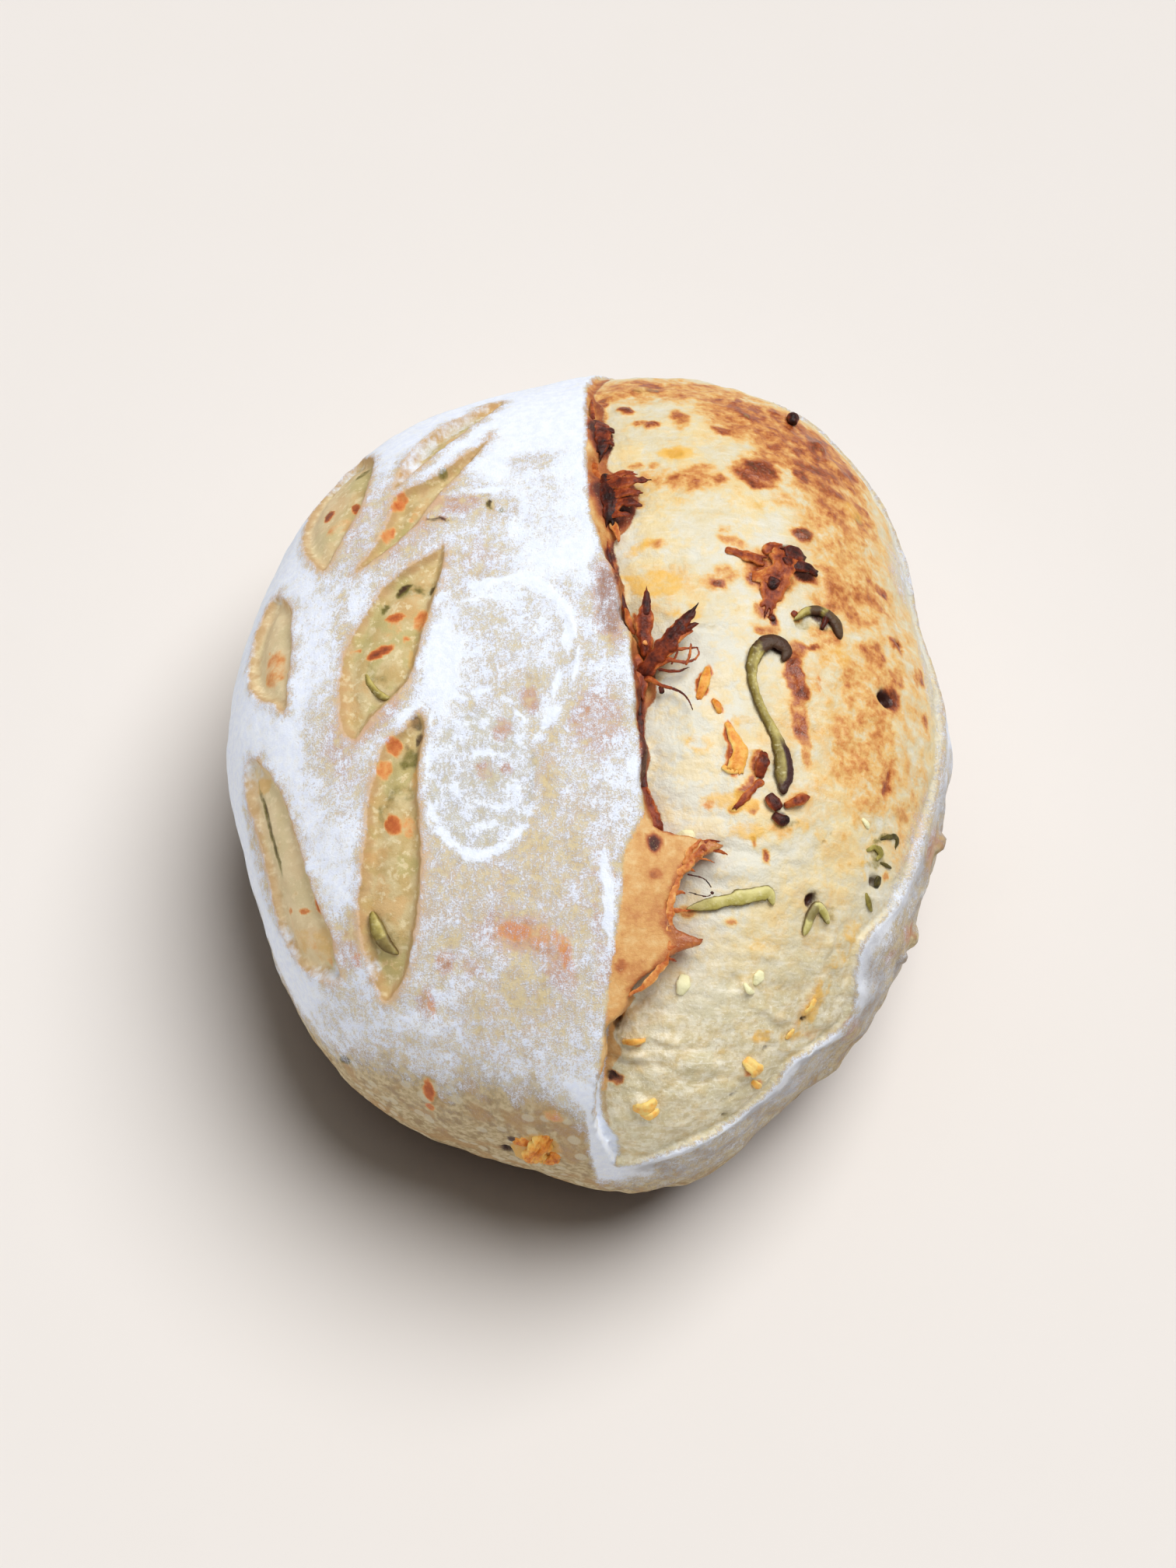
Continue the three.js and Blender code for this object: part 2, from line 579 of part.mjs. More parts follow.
function loafSolid() {
  let solid = toSolid(bodyGeometry());
  for (const swelling of OVAL_SWELLINGS) solid = solid.add(swellingSolid(swelling));
  for (const leaf of LEAF_CUTS) solid = solid.subtract(toSolid(leafGeometry(leaf)));
  solid = solid.subtract(toSolid(openingGeometry()));
  for (const shred of CHARRED_SHREDS) solid = solid.add(toSolid(strandGeometry(shred)));
  for (const { at, size, turn, sunk } of CHEESE_BITS) solid = solid.add(blobSolid(at, size, turn, sunk));
  for (const { at, turn } of SEEDS) solid = solid.add(blobSolid(at, SEED_SIZE, turn));
  for (const { at, width, depth } of PORES) {
    solid = solid.subtract(blobSolid(at, [width, width, depth * 2], 0));
  }
  for (const strip of Object.values(PEPPER_STRIPS)) {
    solid = solid.subtract(toSolid(strandGeometry(layOnSurface(strip), NODE_GAP)));
  }
  return solid;
}

// ---- the loaf and its strips -------------------------------------------------------------------

const crustMaterial = new THREE.MeshStandardMaterial({ color: 0xe6ddcd, roughness: 0.95, metalness: 0 });
const pepperMaterial = new THREE.MeshStandardMaterial({ color: 0x8a9144, roughness: 0.55, metalness: 0 });

const sourdough = new THREE.Group();
const loaf = new THREE.Mesh(toGeometry(loafSolid()), crustMaterial);
loaf.name = 'loaf';
sourdough.add(loaf);
for (const [name, strip] of Object.entries(PEPPER_STRIPS)) {
  const mesh = new THREE.Mesh(toGeometry(toSolid(strandGeometry(layOnSurface(strip)))), pepperMaterial);
  mesh.name = name;
  sourdough.add(mesh);
}

export default sourdough;
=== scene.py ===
"""Looks of the sourdough loaf: a floured crust with leaf cuts, a torn ear and bare crumb.

Shapes are placed in skin coordinates (u, v, h) in millimetres, as in the part's source: u and v
are distances over the skin from the crown, towards +X and +Y, and h is the height above it.
"""

import math

import bpy
import numpy as np
import openvdb
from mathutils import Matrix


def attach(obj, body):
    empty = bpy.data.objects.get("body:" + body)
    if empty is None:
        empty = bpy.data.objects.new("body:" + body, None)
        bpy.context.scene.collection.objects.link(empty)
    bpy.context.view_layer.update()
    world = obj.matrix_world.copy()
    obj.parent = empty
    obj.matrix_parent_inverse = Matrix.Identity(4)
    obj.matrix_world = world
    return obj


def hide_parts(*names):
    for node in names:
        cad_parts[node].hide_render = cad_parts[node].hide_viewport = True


MM = 0.001
VOXEL = 0.8  # mm
MAP_STEP = 0.4  # mm between the points of the skin maps
MAP_REACH = 190  # mm

# ---- driving dimensions, as in the part's source ------------------------------------------------

# Lists of pairs are knots of smooth curves along the long cut: v and the value there.
LOAF_HEIGHT = 106
WIDEST_LEVEL = 44
TOP_ROUNDNESS = 2.35
FOOT_ROUNDNESS = 2.2
FOOT_RATIO = 0.72
MEAN_RADIUS = 98
OUTLINE_RADII = [
    92, 92, 104, 112, 110.5, 105.5, 103.5, 99, 93.5, 92, 91, 96.5, 102.5, 104, 110.5, 101, 96.5, 92,
]
LUMP_HEIGHT = 0.55
FOOT_FADE = (38, 8)
OPENING_FAR = 127
OPENING_NEAR = -135
EAR_EDGE = [
    (-135, 9), (-118, 3.2), (-104, 3.4), (-90, 4.6), (-70, 6.6), (-51, 8.6), (-42, 12), (-19, 11.4),
    (1, 9.6), (16, 7), (32, 3), (50, 0.2), (67, -0.4), (97, 0), (115, 4), (127, 11),
]
EAR_WEB = [
    (-135, 0), (-90, 0), (-86, 3.2), (-80, 5), (-76, 9.5), (-72.5, 12.4), (-69.6, 17.4), (-67, 12),
    (-62, 11.6), (-57, 12.2), (-53, 14), (-49.5, 17.5), (-47, 20), (-45, 6.5), (-42.5, 1), (-36, 0),
    (127, 0),
]
EAR_LIFT = [
    (-135, 0), (-118, 2), (-108, 5), (-88, 6.5), (-60, 6), (-30, 4.5), (0, 4), (30, 3), (60, 2.5),
    (90, 0.8), (127, 0),
]
TORN_FACE_RUN = [
    (-135, 0), (-118, -2), (-108, -5), (-98, -4), (-90, 0), (-84, 3), (-78, -3), (-70, -6),
    (-52, -6), (-46, -2), (-42, 4), (-36, 3), (-28, 2), (-16, 2.2), (-5, 4), (10, 2), (27, 2.5),
    (33, 4), (38, 8), (44, 12), (50, 10), (55, 5), (59, 3.5), (64, 6), (71, 6.5), (78, 2), (97, 1),
    (127, 1),
]
EAR_DEPTH = [
    (-135, 1), (-115, 4), (-95, 8), (-60, 8.5), (-44, 5.5), (-20, 4), (0, 4), (50, 3), (90, 1.8),
    (127, 1),
]
EAR_SPREAD = 22
EAR_JAG = 0.7
EAR_JAG_REACH = (80, 120)
RIM_EDGE = [
    (-135, 11), (-129, 21.5), (-120, 38.9), (-113, 50), (-100, 57), (-94, 68.5), (-86, 73.5),
    (-75, 71), (-65, 71.5), (-54, 82.5), (-34, 91.4), (-23, 96.6), (-6, 99.1), (10, 101.7),
    (35, 103), (60, 98), (70, 94), (90, 82), (105, 64), (118, 42), (127, 14),
]
RIM_LIP = 1.3
RIM_SPREAD = 7
RIM_STEP = 1.1
RIM_STEP_WIDTH = 4
RIM_END = 20
CRUMB_BULGE = 2.4
BULGE_REACH = (60, 105)
CRUMB_RISE = 11
LEAF_OUTLINES = [  # corners (u, v) of each leaf cut, in order round it
    [(-68.5, 34.5), (-72, 38.5), (-76, 45), (-79, 52.5), (-80.5, 60), (-80, 68), (-77, 76), (-72, 83),
     (-67, 88), (-63, 81.5), (-59, 76), (-57.8, 68), (-57.7, 60), (-58.5, 53), (-61, 47.5), (-64, 41.5),
     (-66.5, 36.5)],
    [(-49.5, 55.5), (-48, 63), (-46.5, 68), (-44, 73.5), (-39, 80), (-34, 85.5), (-29, 90.5), (-24, 93),
     (-23.5, 90), (-26, 84), (-30, 77.5), (-33.5, 72.5), (-37.5, 67.6), (-43, 61.5), (-46, 58.8)],
    [(-58.5, 29.8), (-55.5, 34), (-52.4, 38.5), (-50.2, 44), (-49.4, 49), (-49.6, 52.4), (-46, 54),
     (-41, 56), (-36.5, 58.8), (-31, 64), (-27.6, 67.6), (-25, 71), (-25.6, 68.5), (-29.5, 61), (-33.5, 55),
     (-37.2, 50), (-40, 45), (-43, 40.2), (-47, 36.5), (-52, 33), (-56, 30.8)],
    [(-56.6, -17.6), (-59.4, -14.6), (-60.6, -9), (-61, -3), (-60.7, 3), (-59, 9), (-56.5, 14), (-53.4, 19),
     (-49.5, 24), (-44.8, 27.6), (-39.5, 30.2), (-35.2, 32.8), (-35.2, 27), (-36.2, 21.5), (-38, 14.5),
     (-39.8, 8), (-40.8, 2), (-42.5, -3.5), (-45.4, -7), (-50, -10.8), (-54, -14.5)],
    [(-76.6, -5), (-80.5, -2.4), (-85, 0.5), (-88.6, 4), (-91.4, 9), (-93, 15), (-93, 22), (-91, 28.5),
     (-88, 33), (-84.5, 35), (-80, 29.6), (-77.6, 25.4), (-76.2, 18), (-75.7, 11), (-76.1, 3)],
    [(-66, -77), (-73, -75), (-79, -72), (-83, -67.5), (-85.5, -62), (-86, -57), (-86.5, -51), (-88, -45),
     (-89.5, -38), (-91.5, -30), (-94.5, -22), (-94, -15.5), (-90.5, -13.2), (-85, -17), (-80.5, -22.5),
     (-77, -29.5), (-74.5, -37), (-71.5, -45), (-69, -53), (-66.6, -60), (-64.4, -65), (-64, -71),
     (-63, -75.5)],
    [(-50.8, -82.6), (-53.2, -76.5), (-54.5, -71), (-55.6, -64), (-55.8, -58), (-54.5, -51), (-53.4, -44),
     (-52.6, -36), (-51.3, -29), (-49.4, -21.6), (-46.5, -18.2), (-43.4, -16.6), (-40.4, -12.8),
     (-38.4, -16.5), (-39.4, -23.5), (-40, -31), (-39.6, -39), (-39, -47), (-39.3, -55), (-40.5, -63.5),
     (-42.6, -72), (-45.6, -78.8)],
]
LEAF_DEPTH = 2.6
LEAF_BULGE = 1.8
LEAF_WALL = 1.8  # mm over which a leaf cut's side slopes
OVAL_SWELLINGS = [(-19, -0.3, 16.4, 21.4), (-25, -31, 14, 19.2)]  # u, v, and half sizes in u and v

# ---- curves and skin ----------------------------------------------------------------------------


def smoothstep(low, high, x):
    t = np.clip((x - low) / (high - low), 0, 1)
    return t * t * (3 - 2 * t)


def through_knots(knots, x):
    """A smooth curve through (x, y) knots, flat beyond both ends."""
    xs, ys = np.array(knots, float).T
    last = len(xs) - 1
    before = np.maximum(np.arange(last + 1) - 1, 0)
    after = np.minimum(np.arange(last + 1) + 1, last)
    slope = (ys[after] - ys[before]) / (xs[after] - xs[before])
    x = np.clip(x, xs[0], xs[-1])
    i = np.clip(np.searchsorted(xs, x) - 1, 0, last - 1)
    span = xs[i + 1] - xs[i]
    t = (x - xs[i]) / span
    ease = t * t * (3 - 2 * t)
    bend = t * (1 - t) ** 2 * span * slope[i] - t * t * (1 - t) * span * slope[i + 1]
    return ys[i] * (1 - ease) + ys[i + 1] * ease + bend


def spline(a, b, c, d, t):
    """A smooth curve from b to c as t goes from 0 to 1, with a before and d after them."""
    bend = (2 * a - 5 * b + 4 * c - d) * t * t
    return 0.5 * (2 * b + (c - a) * t + bend + (3 * b - a - 3 * c + d) * t**3)


def outline_radius(angle):
    radii = np.array(OUTLINE_RADII, float)
    count = len(radii)
    turn = (angle / (2 * math.pi)) % 1.0 * count
    i = np.floor(turn).astype(int)
    return spline(*(radii[(i + step) % count] for step in (-1, 0, 1, 2)), turn - i)


def meridian():
    """Running length, reach as a share of the outline, and height, from the crown to the underside."""
    angle = np.linspace(0, math.pi / 2, 201)[1:]
    cosine = np.clip(np.cos(angle), 0, 1)
    top = np.sin(angle) ** (2 / TOP_ROUNDNESS)
    top_z = WIDEST_LEVEL + (LOAF_HEIGHT - WIDEST_LEVEL) * cosine ** (2 / TOP_ROUNDNESS)
    low = FOOT_RATIO + (1 - FOOT_RATIO) * cosine ** (2 / FOOT_ROUNDNESS)
    low_z = WIDEST_LEVEL * (1 - np.sin(angle) ** (2 / FOOT_ROUNDNESS))
    ratio = np.concatenate(([0], top, low, [0]))
    z = np.concatenate(([LOAF_HEIGHT], top_z, low_z, [0]))
    steps = np.hypot(np.diff(ratio) * MEAN_RADIUS, np.diff(z))
    return np.concatenate(([0], np.cumsum(steps))), ratio, z


LENGTHS, RATIOS, LEVELS = meridian()
FOOT_LENGTH = LENGTHS[-2]


def reach_of(u, v):
    """Distance over the skin from the crown, on the meridian of the mean radius."""
    return np.hypot(u, v) * MEAN_RADIUS / outline_radius(np.arctan2(v, u))


def bare_skin(u, v):
    """The point of the smooth skin at (u, v)."""
    angle = np.arctan2(v, u)
    radius = outline_radius(angle)
    length = np.minimum(np.hypot(u, v) * MEAN_RADIUS / radius, LENGTHS[-1])
    reach = np.interp(length, LENGTHS, RATIOS) * radius
    level = np.interp(length, LENGTHS, LEVELS)
    return np.stack([reach * np.cos(angle), reach * np.sin(angle), level], -1)


def skin_point(u, v, h):
    """The point at height h over the skin, along the skin's normal."""
    delta = 0.6
    along_u = bare_skin(u + delta, v) - bare_skin(u - delta, v)
    along_v = bare_skin(u, v + delta) - bare_skin(u, v - delta)
    normal = np.cross(along_u, along_v)
    normal /= np.linalg.norm(normal, axis=-1, keepdims=True)
    return bare_skin(u, v) + normal * np.asarray(h)[..., None]


def lumps(u, v):
    broad = np.sin(u / 17 + 1.3) * np.cos(v / 21 - 0.4)
    fine = np.sin(u / 8.3 - v / 11.7) * np.sin(v / 9.1 + 0.8)
    return LUMP_HEIGHT * (broad + 0.6 * fine)


def lip_edge(v):
    """u of the ear's free edge."""
    fade = 1 - smoothstep(*EAR_JAG_REACH, np.abs(v))
    jag = EAR_JAG * (np.sin(v / 2.3) + np.sin(v / 3.7 + 2)) * fade
    return through_knots(EAR_EDGE, v) + through_knots(EAR_WEB, v) + jag


def crust_height(u, v):
    """Height of the crust over the skin, raised at the ear and at the rim."""
    from_ear = np.maximum(through_knots(EAR_EDGE, v) - u, 0)
    lift = through_knots(EAR_LIFT, v) * np.exp(-from_ear / EAR_SPREAD)
    past_ear = 1 - smoothstep(EAR_SPREAD, 2 * EAR_SPREAD, u - lip_edge(v))
    from_rim = np.abs(u - through_knots(RIM_EDGE, v))
    from_tips = np.minimum(v - OPENING_NEAR, OPENING_FAR - v)
    in_reach = smoothstep(0, RIM_END, from_tips) * smoothstep(0, RIM_END, u)
    return lumps(u, v) + lift * past_ear + RIM_LIP * np.exp(-from_rim / RIM_SPREAD) * in_reach


def crumb_height(u, v):
    """Height of the open side over the skin, sunk beside the ear and stepped down at the rim."""
    left = through_knots(EAR_EDGE, v)
    right = through_knots(RIM_EDGE, v)
    across = np.clip((u - left) / np.maximum(right - left, 1), 0, 1)
    from_ear = np.maximum(u - left - through_knots(EAR_WEB, v) / 2, 0)
    sunk = through_knots(EAR_DEPTH, v) * np.exp(-from_ear / CRUMB_RISE)
    fade = 1 - smoothstep(*BULGE_REACH, np.hypot(u, v))
    bulge = CRUMB_BULGE * np.sin(np.pi * across) * fade
    step = RIM_STEP * np.exp(-np.maximum(right - u, 0) / RIM_STEP_WIDTH)
    return lumps(u, v) + bulge - sunk - step


def on_crumb(u, v):
    inside = (u > lip_edge(v)) & (u < through_knots(RIM_EDGE, v))
    return inside & (v > OPENING_NEAR) & (v < OPENING_FAR)


def surface_height(u, v):
    return np.where(on_crumb(u, v), crumb_height(u, v), crust_height(u, v))


# ---- noise and marks ----------------------------------------------------------------------------


def lattice(i, j, seed):
    """A repeatable random angle for each whole-numbered place."""
    mixed = i.astype(np.uint32) * np.uint32(374761393) + j.astype(np.uint32) * np.uint32(668265263)
    mixed += np.uint32(seed * 974634777 % 2**32)
    mixed = (mixed ^ (mixed >> np.uint32(13))) * np.uint32(1274126177)
    mixed ^= mixed >> np.uint32(16)
    return mixed.astype(np.float32) * np.float32(2 * math.pi / 2**32)


def noise(x, y, seed):
    """Smooth gradient noise between about -1 and 1."""
    i, j = np.floor(x).astype(np.int64), np.floor(y).astype(np.int64)
    fx, fy = (x - i).astype(np.float32), (y - j).astype(np.float32)
    ease_x, ease_y = fx * fx * (3 - 2 * fx), fy * fy * (3 - 2 * fy)
    corners = []
    for step_y in (0, 1):
        for step_x in (0, 1):
            angle = lattice(i + step_x, j + step_y, seed)
            corners.append(np.cos(angle) * (fx - step_x) + np.sin(angle) * (fy - step_y))
    near = corners[0] + (corners[1] - corners[0]) * ease_x
    far = corners[2] + (corners[3] - corners[2]) * ease_x
    return 1.4 * (near + (far - near) * ease_y)


def noise_along(x, row, seed):
    return noise(x, np.full(len(x), row), seed)


def layered(x, y, seed):
    """Three noises, each twice as fine and half as strong as the one before."""
    return sum(noise(x * 2**k, y * 2**k, seed + k) / 2**k for k in range(3))


AXIS = np.arange(-MAP_REACH, MAP_REACH + MAP_STEP / 2, MAP_STEP)
U, V = np.meshgrid(AXIS, AXIS, indexing="ij")


def bumps(across, along, seed):
    """Noise over the whole map, with bumps of these sizes in mm."""
    return noise(U / across, V / along, seed)


def layered_bumps(across, along, seed):
    return layered(U / across, V / along, seed)


def empty_map():
    return np.zeros_like(U, dtype=np.float32)


WARP_U = U + 0.8 * bumps(4.3, 4.3, 11) + 0.5 * bumps(1.7, 1.7, 12)
WARP_V = V + 0.8 * bumps(4.3, 4.3, 13) + 0.5 * bumps(1.7, 1.7, 14)


def near_window(u, v, reach):
    """The part of the map within the reach of a place."""
    corners = (u - reach, u + reach, v - reach, v + reach)
    ends = [int(np.clip((x + MAP_REACH) / MAP_STEP, 0, len(AXIS))) for x in corners]
    return slice(ends[0], ends[1] + 1), slice(ends[2], ends[3] + 1)


def ellipse_radius(where, u, v, length, width, turn):
    c, s = math.cos(math.radians(turn)), math.sin(math.radians(turn))
    du, dv = WARP_U[where] - u, WARP_V[where] - v
    return np.hypot((du * c + dv * s) / (length / 2), (dv * c - du * s) / (width / 2))


def paint(marks, soft):
    """A map of the strongest mark at each place."""
    field = empty_map()
    for u, v, length, width, turn, strength in marks:
        where = near_window(u, v, max(length, width) * 0.75 + 2)
        r = ellipse_radius(where, u, v, length, width, turn)
        field[where] = np.maximum(field[where], strength * smoothstep(1 + soft, 1 - soft, r))
    return field


def sample(field, u, v):
    """The map's values at any places, by linear interpolation."""
    x = np.clip((u + MAP_REACH) / MAP_STEP, 0, len(AXIS) - 1.001)
    y = np.clip((v + MAP_REACH) / MAP_STEP, 0, len(AXIS) - 1.001)
    i, j = x.astype(np.int32), y.astype(np.int32)
    fx, fy = (x - i).astype(np.float32), (y - j).astype(np.float32)
    flat = field.ravel()
    at = i * field.shape[1] + j
    near = flat[at] * (1 - fy) + flat[at + 1] * fy
    at = at + field.shape[1]
    far = flat[at] * (1 - fy) + flat[at + 1] * fy
    return near * (1 - fx) + far * fx


# ---- where the colours and the relief lie -------------------------------------------------------

# A mark is an ellipse: (u, v, length, width, turn in degrees, strength).
TOAST = [  # how browned the open side is
    # broad warmth of the open side
    (74, 18, 112, 46, 92, 0.26), (60, -22, 60, 44, 90, 0.22), (84, -30, 40, 26, 90, 0.27),
    (84, 58, 50, 16, 110, 0.22), (54, -70, 60, 34, 75, 0.16), (30, -108, 60, 34, 0, 0.1),
    (18, 18, 30, 20, 0, 0.2), (24, 62, 60, 60, 0, 0.14),
    # the browned top right
    (24, 96, 60, 24, 0, 0.42), (54, 79, 50, 30, -10, 0.56), (60, 67, 40, 18, -10, 0.53),
    (64, 54, 32, 24, 0, 0.47), (65, 40, 30, 20, 10, 0.39), (67, 24, 28, 22, 10, 0.41),
    (70, -2, 26, 22, 0, 0.38), (71, 8.5, 10, 9, 0, 0.48), (68, -20, 26, 34, 0, 0.36),
    (34.5, 71.5, 6, 4.4, 0, 0.7), (50, 77.5, 6, 5, 0, 0.7), (45, 81, 5, 5, 0, 0.62),
    (38, 78, 5, 4, 0, 0.6), (70, 72, 13, 9, -30, 0.68), (65, 82, 5, 10, -20, 0.68),
    (60, 75, 4, 5, 0, 0.62), (55.5, 80, 6, 5, 0, 0.66), (36, 89, 8, 8, 0, 0.56), (41, 91, 3, 9, -20, 0.62),
    (42, 56, 14, 12, -10, 0.62), (41, 58, 8, 4, 0, 0.7), (43, 51.6, 9, 3, 0, 0.68),
    (53.6, 58, 5, 8, 10, 0.62), (48, 63, 16, 7, 0, 0.46), (59, 62.4, 5, 4, -30, 0.62),
    (64.6, 57, 7, 4, 20, 0.56), (73.4, 57, 8, 7, 0, 0.54), (61.6, 48.6, 5, 4, 0, 0.54),
    (52, 48, 14, 6, 0, 0.34), (53, 38.2, 6, 5.4, 20, 0.76), (77.5, 32, 6, 4, 15, 0.66),
    (72, 32.5, 3, 2.6, 0, 0.52), (79.8, 15.2, 6, 6, 0, 0.8), (90, 10.5, 5, 7, 0, 0.56),
    (79, 5, 7, 8, 0, 0.52), (76, -2.4, 8.4, 7, 0, 0.76), (91, -4, 4, 9, 0, 0.44), (58, 20, 8, 10, 0, 0.36),
    (70, 18, 3.4, 3, 0, 0.5), (58, 4, 8, 10, 0, 0.34), (60, 29.6, 12, 3, 0, 0.44),
    # near the far tip
    (9.8, 81, 3.4, 6, 20, 0.68), (13.4, 74, 4, 3, 0, 0.6), (16.4, 73, 4.5, 4, 0, 0.74),
    (23.6, 76, 5, 11, 8, 0.46), (17, 98, 8, 5, 0, 0.6), (17.6, 93, 6, 5, 0, 0.52), (4, 87, 3, 7, 0, 0.52),
    (3, 80, 5, 10, 0, 0.36),
    # upper crumb
    (23, 51, 11, 6, 0, 0.5), (22, 51.5, 26, 10, 0, 0.34), (12.5, 57, 4, 3, 0, 0.42),
    (16.4, 56.8, 3, 3, 0, 0.42), (32, 52, 5, 4, 0, 0.42), (33, 36.5, 3.4, 2.6, 0, 0.44),
    (35, 33, 8, 3, -20, 0.4), (16.5, 31, 6, 3, 0, 0.34), (22, 61, 5, 4, 0, 0.4),
    (30.5, 21, 8, 6, 10, 0.42), (28, 56, 9, 3, 10, 0.36), (12, 44, 4, 3, 0, 0.4),
    # the large dark blotch and its tail
    (44, 25.5, 14, 12, 30, 0.74), (46.5, 29.5, 10, 6, 0, 0.9), (52, 26, 8, 3.4, -12, 0.88),
    (40.5, 23.5, 6, 6, 0, 0.72), (43.5, 16.5, 12, 5, 62, 0.68), (43.2, 20.4, 3, 3, 0, 0.94),
    (44.5, 11.6, 4.4, 3, 100, 0.86), (50.5, 14, 3.6, 2.6, 20, 0.76), (42, 8.6, 3, 7, 70, 0.48),
    (31.2, 20.6, 4.4, 3, 0, 0.93), (32.6, 23, 7, 6, 30, 0.46), (44, 9, 4, 4, 0, 0.45),
    (54.4, 5.4, 4.6, 2, 25, 0.58), (58, 10, 10, 5, 0, 0.42),
    # beside the long strip
    (50, 4, 6, 5, 97, 0.6), (49, -3, 14, 5, 97, 0.7), (50.6, -7, 6, 4.4, 90, 0.78),
    (50, -13, 13, 4.4, 92, 0.64), (51.2, -21, 11, 3, 95, 0.58), (54, -4, 5, 3, 120, 0.4),
    (47.4, 4.2, 4, 2.4, 110, 0.6), (39.7, -26, 4.4, 5.4, -20, 0.74), (40.6, -26.5, 2.2, 3, 0, 0.9),
    (36.5, -33, 10, 2.6, 58, 0.66), (33.6, -37.6, 3, 2.2, 30, 0.84), (49, -34, 6.5, 2.8, 40, 0.68),
    (38, -37, 4, 3, 60, 0.56), (45, -42, 7, 4, 0, 0.36), (41.5, -48, 1.4, 4, 0, 0.78),
    (38.2, -45, 1.4, 3, 20, 0.6), (74.5, -26, 2.6, 10, -8, 0.62), (82, 16, 4, 5, 0, 0.6),
    (88, 9, 4, 8, 0, 0.5),
    # lower crumb
    (23, -62.5, 5, 2.4, 0, 0.44), (33.5, -64.5, 4, 2, 10, 0.42), (76.5, -48.5, 3, 3, 0, 0.46),
    (57, -84, 17, 4.6, 70, 0.36), (44, -93, 6, 4, 0, 0.3), (11.5, -94.8, 7.5, 2.6, 12, 0.48),
    (6, -105.4, 5.5, 4.2, 0, 0.86), (62, -92, 10, 6, 0, 0.34),
]
YELLOW = [  # pale films of melted cheese, and yellow places in the leaf cuts
    (33, -36, 14, 5, 0, 0.8), (37, -43, 9, 5, 0, 0.7), (16, 20, 14, 8, 0, 0.75), (23, 12, 8, 6, 0, 0.45),
    (26, -22, 7, 5, 0, 0.5), (45, -92, 6, 4, 0, 0.6), (58, -84, 15, 4, 70, 0.7), (36, -16, 8, 3, 0, 0.5),
    (22, 61, 10, 6, 0, 0.6), (12, 30, 10, 4, 30, 0.6), (9, 22, 6, 4, 0, 0.55), (60, 4, 12, 6, 40, 0.4),
    (70, 54, 8, 6, 0, 0.6), (-45.6, -42, 5, 3, 0, 0.4), (-43, 2, 2, 6, 0, 0.8), (-70, -68, 9, 10, 0, 0.6),
    (-88, -22, 8, 4, 0, 0.8), (-84, 8, 7, 5, 0, 0.6), (-78, -66, 10, 8, 0, 0.6),
    (-14, -128, 14, 12, 50, 0.8), (-20, -134, 9, 7, 0, 0.8), (-8, -112, 7, 5, 0, 0.5),
    (-52, -62, 6, 12, 0, 0.35), (-49, -26, 5, 4, 0, 0.6), (-40.5, -29, 4, 4, 0, 0.6),
    (30, 44, 30, 6, 8, 0.3), (14, 48, 8, 4, 0, 0.5), (70, -42, 22, 5, 80, 0.4), (66, -68, 20, 6, 70, 0.45),
    (60, -86, 22, 4, 65, 0.6), (50, -42, 18, 7, 0, 0.35), (40, -68, 12, 5, 20, 0.25),
    (56, -52, 6, 10, 0, 0.25),
]
ORANGE = [  # browned cheese and orange-brown spots
    (27.3, -6.4, 9.6, 2.8, 72, 0.85), (30.1, -12.4, 4.8, 2.2, 108, 0.8), (33.2, -20, 9, 2.4, 104, 0.85),
    (33.8, -26, 7.5, 4.4, 92, 0.9), (28, -36.8, 3, 2, 0, 0.5), (55, -4, 5, 2, 110, 0.5),
    (43, -101, 6, 4.6, 60, 0.45), (46, -107, 5, 3, 0, 0.4), (11.5, -94.6, 6.6, 1.8, 12, 0.55),
    (-40.6, 12.5, 4.4, 8, -12, 0.48), (-47.5, 10.5, 4, 5, 0, 0.34), (-47, 14, 5, 2.8, 10, 0.72),
    (-47.6, 6.8, 1.4, 1.2, 0, 0.6), (-50.4, 5, 7.4, 3, 18, 0.8), (-57, 6.4, 3, 1.6, 0, 0.5),
    (-44, 8, 2, 1.6, 0, 0.5), (-46.6, -20.4, 4.2, 5.4, 20, 0.64), (-46.9, -39.8, 4.6, 6, 0, 0.76),
    (-41, -30, 3.4, 5.6, 0, 0.26), (-42.8, -41, 4, 6, 0, 0.44), (-48.8, -26.2, 4, 5.4, 0, 0.44),
    (-44, -109, 3.6, 9.5, -12, 0.72), (-46, -117, 4, 5, -10, 0.6), (-69, -57, 3, 6, 30, 0.75),
    (-80, -57, 3, 3, 0, 0.5), (-74, -58, 4, 2, 0, 0.6), (-73, -67, 3, 4, 0, 0.4), (-68, -72, 3, 3, 0, 0.4),
    (-83, 9.6, 8, 12, 0, 0.46), (-85, 16, 2, 2, 0, 0.4), (-70.8, 57.5, 3.2, 5, 10, 0.75),
    (-61.8, 55.6, 3, 4.6, 10, 0.75), (-66, 50, 8, 6, 0, 0.3), (-48, 50.6, 3, 7.6, -20, 0.54),
    (-50.7, 40.3, 2.4, 6, -24, 0.56), (-44, 45, 3, 3, 0, 0.3), (-57, -72, 3, 4, 0, 0.55),
    (-38, -84, 2.6, 8, 5, 0.5), (-34, -73, 3, 4, 0, 0.3), (-17.4, -67, 9, 5, -8, 0.52),
    (-11, -68, 6, 6, 20, 0.42), (-5, -71.6, 4.0, 12, 24, 0.5), (-8, -112, 6, 5, 0, 0.35),
    (12, 10, 2, 7, 22, 0.8), (78, -26, 2, 6, 0, 0.3),
]
